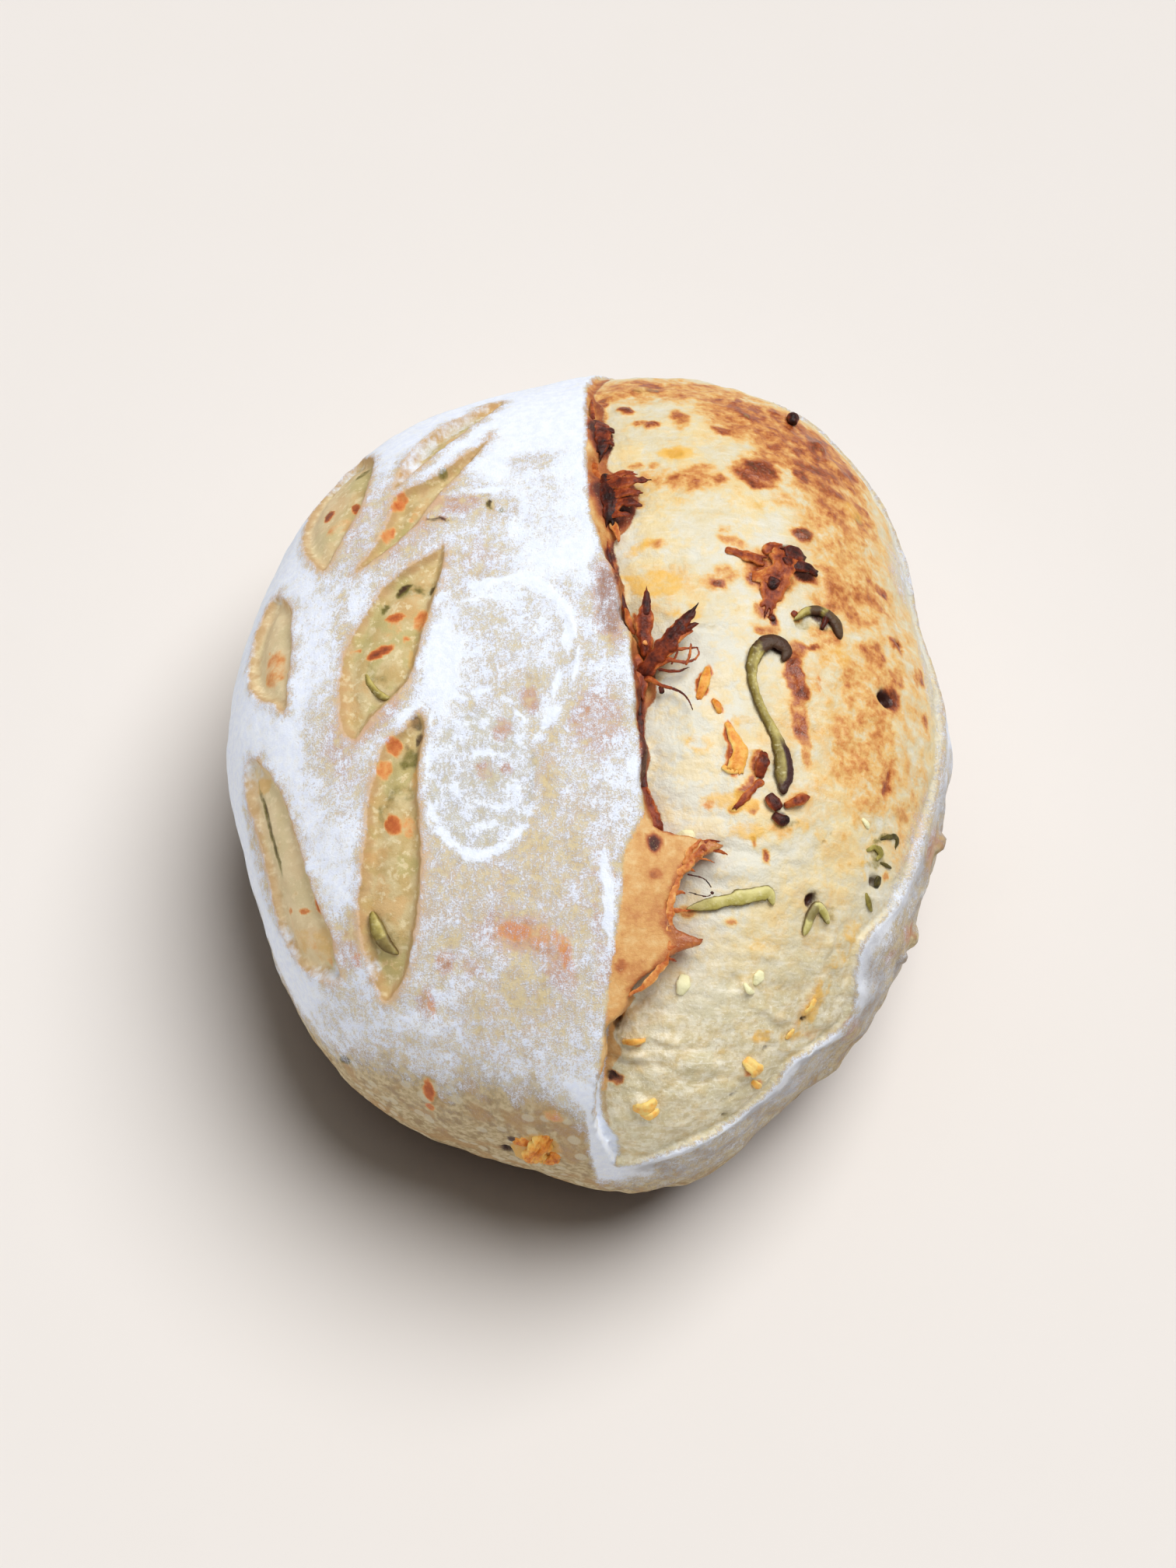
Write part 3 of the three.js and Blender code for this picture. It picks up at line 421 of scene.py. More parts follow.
OLIVE = [  # scraps of pepper skin and green tints
    (-45.4, 22, 5.6, 2.6, 30, 0.95), (-41.4, 21.5, 3.2, 2, 0, 0.9), (-50, 33, 6, 2.4, -30, 0.3),
    (-38, 20.4, 2, 2.4, 0, 0.9), (-49.8, 17.4, 3.4, 2, 40, 0.9), (-41, 21, 12, 5, 8, 0.42),
    (-46, -5.6, 3.4, 2.4, -40, 0.55), (-51, -3, 12, 5, -62, 0.4), (-57, -6, 1.4, 3, 0, 0.5),
    (-42, -24, 5.4, 5.6, 0, 0.75), (-45, -33.8, 9, 1.4, 0, 0.6), (-50, -37.4, 1.4, 7, 10, 0.5),
    (-40.4, -37.4, 1.4, 7, -10, 0.5), (-40, -19.4, 3, 3.6, 0, 0.5), (-47, -35, 5, 3, 0, 0.35),
    (-50, -65, 7, 13, 25, 0.42), (-37, 57.5, 2.4, 3, 0, 0.8), (-24, 44, 1.6, 4, 10, 0.9),
    (-21.4, 42, 2, 1.8, 0, 0.9), (-26, 48, 2, 3, 0, 0.6), (-63, 74, 7, 3.4, 60, 0.8),
    # the long mark at (-86, -34) is painted shade in the crease of a leaf cut, as is its twin among the
    # dark marks
    (-86, -34, 3, 30, 18, 0.8), (-45, -33, 8, 6, 0, 0.4), (-74, -103, 9, 3, 20, 0.9),
    (16, 94, 7, 6.4, 0, 0.45), (57, 14.4, 10, 6, -15, 0.5), (52, 12.4, 5, 3, 0, 0.6),
    (72.4, -43.6, 5, 4, 0, 0.65), (72, -46, 8, 3, 20, 0.6), (71, -56, 5, 5, 0, 0.5),
    (74.5, -39, 8, 2, 25, 0.7), (60, -60, 5, 3, -30, 0.4), (71, 53, 4, 4, 0, 0.35),
    (46.5, -40.4, 6, 2, 10, 0.6), (30, 8.6, 10, 1.2, 8, 0.4), (13, 16, 3, 2, 0, 0.3),
    (-29, -31, 14, 19, 0, 0.16), (-37.6, -31, 1.5, 22, 0, 0.4), (-13, -31, 1.2, 14, -4, 0.45),
    (-30, -15, 8, 3, 20, 0.3), (-34, 46, 8, 1, -20, 0.3), (22, -131, 5, 8, 0, 0.2),
    (56, -88, 2, 2.4, 0, 0.5), (38, -118, 3, 2, 0, 0.3),
]
BURNT_AND_SHADE = [  # burnt spots, and painted shade in holes, in a crease of a leaf cut and under scraps
    (74, -2.6, 6, 5.2, 0, 1.0), (81.7, 16.2, 3.6, 3.6, 0, 0.75), (46.8, 31, 9, 5, 20, 0.85),
    (52.4, 26.4, 6, 3, -12, 0.8), (43.2, 20.4, 2.4, 2.4, 0, 0.6), (57, 14.6, 7, 3.4, -12, 0.85),
    (60.6, 11.6, 2.6, 4.4, 20, 0.8), (57, 12.4, 2.4, 2.4, 0, 0.7), (45.6, 3.4, 4.6, 2.4, -20, 0.9),
    (53.3, -57, 2.2, 4.6, -20, 0.9), (72.5, -50.6, 3, 3, 0, 0.7), (56.5, -87.6, 2, 2.4, 0, 0.8),
    (46.5, -96, 2, 2, 0, 0.5), (38.5, -110, 2.4, 2, 0, 0.55), (38, -117, 3, 2, 0, 0.5),
    (7, -90.5, 2.4, 6, -10, 0.7), (5.6, -105.6, 4, 3, 0, 0.7), (-22, -128, 4, 4.6, 0, 0.9),
    (-26, -137, 5, 6, 0, 0.9), (-47, 14, 3.6, 1.4, 10, 0.35), (-50.2, 5, 5, 1.6, 18, 0.45),
    (-45.4, 22.2, 4.6, 2, 30, 0.75), (-41.4, 21.5, 2.4, 1.4, 0, 0.5), (-49.8, 17.4, 2.4, 1.2, 40, 0.5),
    (-38, 20.6, 2, 2.2, 0, 0.7), (-40, -19.4, 3, 3, 0, 0.75), (-71, 58, 3.2, 5.6, 12, 0.5),
    (-61.8, 56, 3.2, 4.6, 10, 0.5), (-57, 59.5, 2, 2, 0, 0.35), (-68, 80, 3, 3, 0, 0.4),
    (-37, 41, 7.4, 1.3, -12, 0.8), (-24, 44.2, 1.2, 3.4, 10, 0.7), (-74, -103, 8, 2, 20, 0.7),
    (-86, -33, 1.6, 24, 18, 0.6), (-58, -65, 6, 2, 0, 0.25), (-84, -61, 2, 2, 0, 0.3),
    (-48, -20.4, 3, 2.4, 0, 0.3), (-43.6, -21, 1.6, 2, 0, 0.5), (54, -16, 2.4, 2, 20, 0.3),
    (57.6, -41.5, 1.4, 1.8, 0, 0.55), (55.8, -43.4, 1.4, 2, -20, 0.5), (54.2, -45.6, 2.2, 3, 0, 0.3),
    (62.6, -15, 1, 1, 0, 0.6), (45, -39, 4, 3, 0, 0.9), (16, 72.4, 3, 2.4, 0, 0.4),
    (70.4, 17.6, 3, 3, 0, 0.2), (-18.6, -29.6, 3, 2, 0, 0.2), (-41, -15, 3, 5, 25, 0.6),
    (31.2, 20.6, 3, 1.6, 0, 0.35), (38.4, -79.4, 3.6, 1.6, 60, 0.25), (8, 33, 1, 6, -20, 0.4),
]
WORN = [  # where the flour is thin
    (-17, -62, 64, 54, 0, 0.6), (-14, -82, 52, 32, 0, 0.54), (-30, -60, 26, 46, 0, 0.3),
    (-6, -46, 34, 30, 0, 0.56), (-27, 27, 18, 22, 0, 0.42), (-30, 22, 16, 14, 0, 0.34),
    (-20, 4, 26, 28, 0, 0.32), (-18, -9, 24, 14, 0, 0.44), (-13.4, -12, 5, 9, 0, 0.8),
    (-25, -31, 23, 32, 0, 0.46), (-20, -19, 6, 9, 0, 0.66), (-24, -29.6, 6, 6, 0, 0.74),
    (-18.6, -29, 3, 3, 0, 0.8), (2, -18, 16, 24, 0, 0.64), (4.6, 13, 7.4, 26, 6, 0.84),
    (-3, 4, 14, 40, 0, 0.38), (-11, -31, 9, 26, 0, 0.72), (-62, -20, 16, 32, 12, 0.48),
    (-57, 45, 20, 40, -28, 0.42), (-43, 37, 30, 12, 34, 0.52), (-33, 46, 19, 15, -10, 0.72),
    (-24, 42, 12, 12, 0, 0.52), (-50, -13, 20, 9, 42, 0.56), (-39.5, -83, 7, 9, 0, 0.8),
    (-34, -74, 5, 7, 0, 0.72), (-27, -75, 8, 6, 0, 0.64), (-15, -68, 24, 10, -8, 0.86),
    (-6, -74, 8, 15, 24, 0.84), (-60, -68, 12, 16, 0, 0.6), (-13, 58, 12, 8, 0, 0.34),
    (-61, 14, 5, 34, 8, 0.4), (-8, -92, 24, 10, 0, 0.26), (-92, -40, 10, 30, 10, 0.45),
    (4, -62, 6, 50, 0, 0.44), (-45, -96, 36, 14, 0, 0.36), (-70, -88, 30, 12, 20, 0.22),
    (-66, 14, 14, 60, 0, 0.12), (-12, 40, 20, 40, 0, 0.14), (-66, -36, 14, 40, 16, 0.1),
    (-56, -84, 30, 14, 0, 0.24), (-58, -28, 5, 22, 8, 0.3), (102, -36, 14, 15, 0, 0.6),
    (100, -63, 14, 12, 0, 0.6), (88, -66, 14, 12, 0, 0.5), (78, -92, 22, 11, -40, 0.4),
]
FLOUR_ADDED = [  # ridges of the pepper slices and drifts, whiter than what is round them
    (-24, 20.4, 9, 1.6, 0, 0.6), (-13, 19, 6, 1.6, -20, 0.6), (-9.4, 16.4, 5, 2.2, -48, 0.9),
    (-6, 11.4, 6, 2.6, -66, 1.0), (-4.6, 4, 9, 2.8, -88, 1.0), (-7.2, -8.6, 8, 1.6, 76, 0.7),
    (-9.8, -17.6, 7, 2.0, 68, 0.9), (-11.4, -21.4, 3, 2.4, 0, 0.8), (-24, 16, 17, 0.9, 3, 0.4),
    (-33, -9.2, 5, 2.6, -20, 0.8), (-24.6, -9, 6, 1.8, 6, 0.7), (-28.6, -10.4, 4, 1.2, 0, 0.4),
    (-19.6, -11.6, 6, 1.0, -30, 0.6), (-15.8, -15.6, 6, 1.0, -56, 0.6), (-37.4, -16, 7, 1.2, 80, 0.5),
    (-37.8, -28, 16, 1.3, 88, 0.5), (-36.4, -38, 7, 1.6, 112, 0.7), (-32.6, -44.6, 8, 2.8, 134, 0.9),
    (-27, -49, 7, 3.2, 158, 1.0), (-21.6, -48, 7, 2.8, 24, 0.9), (-16.6, -44.4, 6, 2.2, 40, 0.8),
    (-13.4, -40.4, 4, 1.4, 70, 0.5), (-23.6, -25.2, 9.4, 2.0, -6, 0.8), (-26, -23.6, 4, 1.2, 10, 0.4),
    (-30.6, -33.4, 2.4, 3, 0, 0.5), (-21, -37.6, 9, 2.2, -8, 0.5), (-17, -33, 3, 4, 20, 0.5),
    (-24, -42.6, 8, 2.4, 10, 0.45), (-43, -12.8, 7, 3, 36, 0.9), (5, -62, 3, 26, 6, 0.9),
    (3, 34, 3, 18, 10, 0.5), (-30, 49.5, 15, 2.6, -6, 0.8), (-34, 42.4, 10, 1.6, -10, 0.5),
    (-34, 2, 9, 16, 8, 0.35), (-2, 24, 12, 14, 0, 0.3), (84, -70, 12, 24, 0, 0.34),
    (60, -113, 18, 12, 0, 0.34),
]
VEIL = [  # thin flour over the floors of the leaf cuts
    (-37, 84, 30, 9, 52, 0.4), (-46.5, 66, 4, 16, -14, 0.6), (-95, 20, 4, 30, 0, 0.3),
    (-92, 1, 7, 4, -40, 0.25), (-82, 56, 4, 30, 4, 0.28), (-75, 82, 14, 10, 0, 0.3),
    (-93, -16, 10, 8, 0, 0.3), (-90, -46, 4, 30, 8, 0.35), (-64.6, -75, 5, 6, 0, 0.4),
    (-34, 31, 3, 6, 0, 0.4), (-84, 35, 6, 4, -40, 0.3), (-55, -75, 4, 8, 0, 0.5),
    (-70, -76, 16, 4, -10, 0.5), (-84, -66, 5, 12, 30, 0.5),
]
DUSTED = [  # a little flour that lies on the open side
    (92, 50, 24, 12, 62, 0.55), (96, 20, 30, 6, 90, 0.3), (90, -38, 30, 9, 66, 0.4),
    (84, -52, 14, 6, 60, 0.55),
]
PINK = [  # where the crust under the flour is pinker or browner
    (-15, -68, 24, 11, -8, 0.85), (-6, -75, 9, 15, 24, 0.85), (-13.4, -12, 5, 8, 0, 0.85),
    (-20, -19, 5, 8, 0, 0.85), (-24, -29.6, 5, 5, 0, 0.7), (-18.6, -29, 3, 3, 0, 0.9),
    (-25, -7, 6, 4, 0, 0.4), (4.6, 13, 8, 28, 6, 0.95), (2, -18, 14, 20, 0, 0.8), (-2, -34, 12, 12, 0, 0.4),
    (-33, 46, 16, 9, -10, 0.7), (-27, 28, 12, 14, 0, 0.5), (-60, -20, 10, 22, 12, 0.6),
    (-50, -13, 18, 7, 42, 0.7), (-34, -74, 5, 7, 0, 0.9), (-27, -75, 8, 6, 0, 0.7),
    (-39.5, -83, 7, 9, 0, 0.7), (4, -62, 6, 40, 0, 0.6), (-60, -70, 9, 10, 0, 0.7),
    (-57, 45, 16, 32, -28, 0.5), (-43, 37, 26, 9, 34, 0.6), (100, -36, 10, 14, 0, 0.8),
    (97, -62, 12, 8, 0, 0.8), (86, -70, 12, 8, 0, 0.5), (78, -92, 18, 8, -40, 0.6),
    (66, -112, 12, 8, -40, 0.5), (-100, -30, 14, 30, 0, 0.3),
]
BARE = [  # places with no flour at all
    (-44, -109, 5, 10, -12, 1.0), (-24, 44, 2, 4, 10, 0.9), (-37, 41, 8, 1.6, -12, 0.9),
    (-58, -65, 4, 2, 0, 0.5),
]
RELIEF = [  # marks with a height in mm in place of the strength
    (11, -99, 10, 3.4, 4, 1.3), (20, -94, 9, 3, -8, 1.1), (60.5, -68, 3, 14, -12, 0.8),
    (47, -86.5, 12, 3, -18, 0.9), (30, -52, 22, 5, 4, 0.7), (34, -70, 26, 6, -6, 0.7),
    (26, -99, 20, 6, -8, 0.7), (56, -56, 7, 14, 16, 0.8), (33.6, -24, 14, 5, 98, 0.9),
    (27.3, -6.4, 9.6, 3, 72, 0.7), (30.1, -12.4, 4.8, 2.4, 108, 0.6), (14.4, -112.2, 9, 4.6, 150, 1.5),
    (43, -101, 7, 5, 60, 1.2), (11.5, -94.6, 7.6, 3, 12, 1.0), (57, -84, 15, 5, 70, 0.9),
    (-45, -39.5, 8, 6, 0, 0.7), (-44, -109, 4, 9.5, -12, 1.0), (-13.8, -128.2, 13, 8, 10, 2.4),
    (-20, -134, 8, 6, 40, 2.2), (-30, 49.5, 15, 2.4, -6, 0.9), (-24, 41, 2.6, 9, 0, 0.6),
    (105.8, -32.3, 9, 6, 80, 2.2), (105.7, -62.5, 10, 6, 60, 2.0), (45, 25.5, 13, 10, 50, 1.3),
    (47.5, 30.5, 9, 5, 20, 1.4), (52, 26.4, 8, 3, -12, 1.3), (50.2, -4, 16, 4.4, 95, 0.8),
    (39.8, -26, 5, 5.4, 0, 1.2), (49, -34, 7, 3, 40, 1.1), (36.4, -33, 10, 2.6, 58, 0.5),
    (22, 51, 10, 5, 0, 0.4), (38.4, -79.4, 5, 3, 60, 0.7), (54, 38, 7, 4, 10, 0.8), (43, 57, 14, 8, 0, 0.6),
    (53, 55, 8, 7, 0, 0.5), (33, 71, 6, 4, 0, 0.7), (16, 72.4, 4.4, 3.4, 0, 0.8), (9, 81, 4, 7, 20, 0.8),
    (-46.8, -20.4, 4, 5, 20, 0.6), (-40, 12.5, 4, 6, -12, 0.4), (-50.2, 5, 6, 2.4, 18, 0.4),
    (-47, 14, 4.6, 2.6, 10, 0.4), (95.5, -69.3, 6, 5, 0, 1.6), (79, 14, 5, 6, 0, 0.7),
    (68, 70, 10, 7, -20, 0.8), (62, 77, 5, 7, 0, 0.9),
    # hollows
    (74, -2.6, 5.6, 5, 0, -3), (81.7, 16.2, 4, 4, 0, -2.2), (72.4, -50.6, 3.6, 3.6, 0, -2.2),
    (53.4, -57, 2.6, 5, -20, -2), (7, -90.5, 3.4, 7, -10, -2.2), (5.8, -105.5, 5.4, 4, 0, -2),
    (56.5, -87.6, 2.4, 2.6, 0, -1.4), (38.5, -110, 3, 2.4, 0, -1.2), (38, -117, 3.6, 2.6, 0, -1.2),
    (46.5, -96, 2.4, 2.4, 0, -1), (35.6, -79, 5, 5, 0, -1.1), (40, -19.4, 3, 3, 0, -0.4),
    (-22, -128, 4, 5, 0, -2.4), (-26, -137, 5, 6, 0, -2.4), (57.6, -41.5, 1.6, 2, 0, -0.8),
    (55.8, -43.4, 1.6, 2.2, -20, -0.8), (54.2, -45.6, 2.4, 3.2, 0, -0.6), (54, -16, 3, 2.4, 20, -0.5),
    (-40, -19.4, 3.2, 3.4, 0, -1.2), (52, 12.4, 5, 3.4, 0, -0.8), (-37, 41, 7, 1.6, -12, -0.9),
    (74.5, -26, 2.8, 9, -8, -0.6), (42, -6, 4, 14, 0, -0.3), (60, -98, 8, 5, 0, 0.6),
]
CREASES = [  # folds and steps in the open side: both ends in (u, v), half width, depth
    ((24, 7), (41, 9), 1.4, 0.7), ((23, 42), (35, 43.4), 1.2, 0.7), ((26, -39.6), (36, -40.4), 1.1, 0.6),
    ((13, -46), (26, -46.4), 1.2, 0.7), ((22, -84), (10, -92), 1.6, 0.9), ((16, -81), (8, -88), 1.4, 1.0),
    ((5, -100.4), (15, -101.6), 1.2, 1.0), ((30, -79), (36, -81), 1.2, 0.5),
    ((45, -88), (55, -93), 1.4, 0.6), ((60, -70), (66, -82), 1.2, 0.5), ((28, 34), (20, 33), 1.0, 0.4),
    ((12, 26), (30, 27.6), 0.9, 0.35), ((14, 64), (34, 65), 0.9, 0.3), ((58, 8), (72, 5), 1.0, 0.4),
    ((58, -20), (74, -21), 0.9, 0.3),
]


def crease_field(creases):
    """How deep the creases of the list are at each place."""
    field = empty_map()
    for (u0, v0), (u1, v1), half, depth in creases:
        length = math.hypot(u1 - u0, v1 - v0)
        where = near_window((u0 + u1) / 2, (v0 + v1) / 2, length / 2 + 4 * half)
        du, dv = WARP_U[where] - u0, WARP_V[where] - v0
        along = np.clip((du * (u1 - u0) + dv * (v1 - v0)) / length**2, 0, 1)
        off = np.hypot(du - along * (u1 - u0), dv - along * (v1 - v0))
        taper = np.sin(np.pi * (0.08 + 0.84 * along))
        field[where] = np.maximum(field[where], depth * taper * np.exp(-((off / half) ** 2)))
    return field


def smooth_ring(corners):
    """The smooth closed ring through the corners of a leaf cut."""
    a, b, c, d = (np.roll(corners, -step, axis=0)[:, None, :] for step in (-1, 0, 1, 2))
    t = np.linspace(0, 1, 5, endpoint=False)[None, :, None]
    return spline(a, b, c, d, t).reshape(-1, 2)


def signed_distance(ring, u, v):
    """Distance to a closed ring, positive inside it."""
    nearest = np.full(u.shape, 1e9)
    crossings = np.zeros(u.shape, int)
    for (u0, v0), (u1, v1) in zip(ring, np.roll(ring, -1, axis=0)):
        run, rise = u1 - u0, v1 - v0
        along = ((u - u0) * run + (v - v0) * rise) / max(run**2 + rise**2, 1e-9)
        along = np.clip(along, 0, 1)
        nearest = np.minimum(nearest, np.hypot(u - u0 - along * run, v - v0 - along * rise))
        if v1 != v0:
            crossings += ((v0 > v) != (v1 > v)) & (u < u0 + (v - v0) * run / rise)
    return np.where(crossings % 2 == 1, nearest, -nearest)


def leaf_maps():
    """How far inside a leaf cut each place is, in mm, and the height of its floor."""
    inside = np.full_like(U, -9.0, dtype=np.float32)
    for outline in LEAF_OUTLINES:
        corners = np.array(outline, float)
        middle = (corners.max(0) + corners.min(0)) / 2
        where = near_window(*middle, np.ptp(corners, axis=0).max() / 2 + 8)
        u, v = U[where], V[where]
        bent_u = u + 0.35 * noise(u / 2.6, v / 2.6, 21) + 0.2 * noise(u, v, 23)
        bent_v = v + 0.35 * noise(u / 2.6, v / 2.6, 22) + 0.2 * noise(u, v, 24)
        inside[where] = np.maximum(inside[where], signed_distance(smooth_ring(corners), bent_u, bent_v))
    depth = LEAF_DEPTH * (1 - np.exp(-np.maximum(inside, 0) / LEAF_WALL))
    return inside, (LEAF_BULGE * smoothstep(0.5, 7, inside) - depth).astype(np.float32)


# the middle and the half length of each slice's clear arc in degrees, and how glazed it is
OVAL_LOOKS = [(30, 75, 0.2), (-100, 110, 0.75)]
OVAL_RIDGE_WIDTH = 0.9


def oval_maps():
    """The two pepper slices under the flour: their raised rims, and the places inside them."""
    ridges, within = empty_map(), empty_map()
    bent = 0.05 * bumps(9, 9, 32)
    uneven = np.clip(0.5 + 0.9 * bumps(7, 7, 31), 0, 1.0)
    for (u, v, across, along), (centre, half, glaze) in zip(OVAL_SWELLINGS, OVAL_LOOKS):
        turn = np.degrees(np.arctan2((V - v) / along, (U - u) / across))
        shown = smoothstep(half + 30, half, np.abs((turn - centre + 180) % 360 - 180))
        r = np.hypot((U - u) / across, (V - v) / along) + bent
        off = (r - 1) * (across + along) / 2
        ridges = np.maximum(ridges, uneven * shown * np.exp(-((off / OVAL_RIDGE_WIDTH) ** 2)))
        within = np.maximum(within, (glaze * smoothstep(1.0, 0.86, r)).astype(np.float32))
    return ridges, within


OVAL_RIDGES, OVALS = oval_maps()
LEAF_INSIDE, LEAF_FLOOR = leaf_maps()


def crust_map():
    """Height of the crust over the skin, without the leaf cuts."""
    fade = 1 - smoothstep(FOOT_LENGTH - FOOT_FADE[0], FOOT_LENGTH - FOOT_FADE[1], reach_of(U, V))
    height = crust_height(U, V)
    past_rim = smoothstep(-1, 4, U - through_knots(RIM_EDGE, AXIS)[None, :]) * smoothstep(20, -10, V)
    height = height + past_rim * (0.9 * bumps(12, 10, 48) + 0.22 * bumps(4.5, 4.5, 49))
    grain = 0.3 * bumps(9, 9, 41) + 0.14 * layered_bumps(3.6, 3.6, 42) + 0.05 * bumps(1.1, 1.1, 45)
    leaf_lip = 0.55 * np.exp(-np.abs(LEAF_INSIDE) / 1.6) * (0.7 + 0.5 * bumps(5, 5, 46))
    fine = grain + leaf_lip + 0.8 * OVAL_RIDGES - 0.2 * OVALS
    return (height * fade + fine * np.maximum(fade, 0.15)).astype(np.float32)


def crumb_folds():
    """Rounded lumps with creases between them: their height, and how deep in a crease a place is, which
    sets the painted shade in the creases.
    """
    bent_u = WARP_U + 2.5 * bumps(11, 11, 62)
    bent_v = WARP_V + 2.5 * bumps(11, 11, 63)
    wide = np.abs(noise(bent_u / 11, bent_v / 7, 58) + 0.35 * bumps(5, 4, 64))
    small = np.abs(noise(bent_u / 4, bent_v / 3, 59) + 0.3 * bumps(2, 2, 65))
    present = smoothstep(-0.35, 0.45, bumps(15, 12, 66))
    slack = 0.26 + 0.74 * (1 - smoothstep(-95, -45, V - 0.25 * U + 10))
    rounded = 0.6 * np.minimum(1.6 * wide, 1) ** 0.8 + 0.3 * present * np.minimum(1.6 * small, 1) - 0.5
    wide_crease = 0.8 * np.exp(-((wide / 0.09) ** 2)) * present
    small_crease = 0.25 * np.exp(-((small / 0.13) ** 2)) * present
    crease = slack * (wide_crease + small_crease)
    return (slack * rounded).astype(np.float32), np.clip(crease, 0, 1).astype(np.float32)


FOLDS, CREASE_SHADE = crumb_folds()


def crumb_map():
    """Height of the bare crumb over the skin."""
    height = crumb_height(U, V)
    slack = 1 - smoothstep(-60, -100, V)
    stretch = 0.22 * bumps(13, 1.9, 51) + 0.34 * bumps(24, 5.2, 52) + 0.12 * bumps(6, 0.9, 53)
    grain = 0.14 * layered_bumps(3.2, 2.6, 54) + 0.3 * bumps(10, 9, 57)
    lumpy = 0.42 * layered_bumps(8, 6, 67) + 0.12 * layered_bumps(2.2, 1.9, 68)
    height = height + 0.4 * stretch + slack * lumpy + grain + FOLDS
    return (height - crease_field(CREASES)).astype(np.float32)


def relief_map():
    """The lumps and hollows of the list, each with a slightly uneven surface."""
    field = empty_map()
    for u, v, length, width, turn, height in RELIEF:
        where = near_window(u, v, max(length, width) * 0.7 + 2)
        r = ellipse_radius(where, u, v, length, width, turn)
        bump = height * smoothstep(1.15, 0.35, r)
        bump *= 1 + 0.25 * noise(U[where] / 1.6, V[where] / 1.6, 61)
        field[where] = np.where(np.abs(bump) > np.abs(field[where]), bump, field[where])
    return field


# ---- the loaf's surface -------------------------------------------------------------------------


def nearest_target(at, targets):
    """For each row of at, the number of the target row that lies nearest."""
    best = np.full(len(at), 1e9)
    nearest = np.zeros(len(at), int)
    for k, target in enumerate(targets):
        gap = ((at - target) ** 2).sum(1)
        closer = gap < best
        best[closer] = gap[closer]
        nearest[closer] = k
    return nearest


NEWTON_STEPS = 4
NEWTON_DELTA = 0.05  # mm
NEWTON_REACH = 24  # mm from the skin
FOOT_MARGIN = 3  # mm of skin before the flat foot, and mm above it


def invert(points):
    """Skin coordinates of points, by the nearest place on the meridian and a few Newton steps."""
    x, y, z = points.T
    angle = np.arctan2(y, x)
    radius = outline_radius(angle)
    ratio = np.hypot(x, y) / radius
    curve = np.stack([RATIOS * MEAN_RADIUS, LEVELS], 1)[::4]
    length = LENGTHS[::4][nearest_target(np.stack([ratio * MEAN_RADIUS, z], 1), curve)]
    on_base = length > FOOT_LENGTH
    length_on_base = np.maximum(length, np.interp(-ratio, -RATIOS[-2:], LENGTHS[-2:]))
    length = np.where(z < 1.0, length_on_base, length)
    reach = np.maximum(length, 0.01) * radius / MEAN_RADIUS
    u, v = reach * np.cos(angle), reach * np.sin(angle)
    base = bare_skin(u, v)
    normal = skin_point(u, v, np.ones_like(u)) - base
    h = ((points - base) * normal).sum(-1)
    above_foot = length < FOOT_LENGTH - FOOT_MARGIN
    free = (np.abs(h) < NEWTON_REACH) & above_foot & ~on_base & (z > 1.5)
    for _ in range(NEWTON_STEPS):
        fu, fv, fh = u[free], v[free], h[free]
        here = skin_point(fu, fv, fh)
        moved = [
            skin_point(fu + NEWTON_DELTA, fv, fh),
            skin_point(fu, fv + NEWTON_DELTA, fh),
            skin_point(fu, fv, fh + NEWTON_DELTA),
        ]
        jacobian = np.stack([(there - here) / NEWTON_DELTA for there in moved], -1) + np.eye(3) * 1e-4
        move = np.linalg.solve(jacobian, (points[free] - here)[..., None])[..., 0]
        move = np.clip(move, -3, 3)
        u[free] += move[:, 0]
        v[free] += move[:, 1]
        h[free] += move[:, 2]
    return u, v, np.where(~above_foot & (z < FOOT_MARGIN), -z, h)


COARSE = 3.2  # mm
LOW_CORNER = np.array([-98.0, -116.0, -4.8])
HIGH_CORNER = np.array([99.0, 116.0, 118.0])
COARSE_COUNT = np.ceil((HIGH_CORNER - LOW_CORNER) / COARSE).astype(int) + 1


def coarse_skin():
    """Skin coordinates on a coarse grid round the loaf."""
    axes = [LOW_CORNER[k] + COARSE * np.arange(COARSE_COUNT[k]) for k in range(3)]
    points = np.stack(np.meshgrid(*axes, indexing="ij"), -1).reshape(-1, 3)
    return [a.reshape(COARSE_COUNT).astype(np.float32) for a in invert(points)]


SKIN = coarse_skin()


def skin_at(x, y, z):
    """Skin coordinates of points in mm, by linear interpolation in the coarse grid."""
    at = [(c - LOW_CORNER[k]) / COARSE for k, c in enumerate((x, y, z))]
    at = [np.clip(a, 0, COARSE_COUNT[k] - 1.001) for k, a in enumerate(at)]
    cell = [a.astype(np.int32) for a in at]
    part = [(a - c).astype(np.float32) for a, c in zip(at, cell)]
    stride_x, stride_y = int(COARSE_COUNT[1] * COARSE_COUNT[2]), int(COARSE_COUNT[2])
    first = cell[0] * stride_x + cell[1] * stride_y + cell[2]
    result = []
    for grid in SKIN:
        flat = grid.ravel()
        total = 0
        for dx, share_x in ((0, 1 - part[0]), (1, part[0])):
            for dy, share_y in ((0, 1 - part[1]), (1, part[1])):
                row = first + dx * stride_x + dy * stride_y
                total = total + share_x * share_y * (flat[row] * (1 - part[2]) + flat[row + 1] * part[2])
        result.append(total)
    return result


def smooth_max(a, b, rounding):
    """The larger value, rounded off where the two are nearly equal."""
    share = np.maximum(rounding - np.abs(a - b), 0) / rounding
    return np.maximum(a, b) + share * share * rounding / 4


def smooth_min(a, b, rounding):
    return -smooth_max(-a, -b, rounding)


CRUST = crust_map()
CRUMB = crumb_map()
RELIEF_MAP = relief_map()


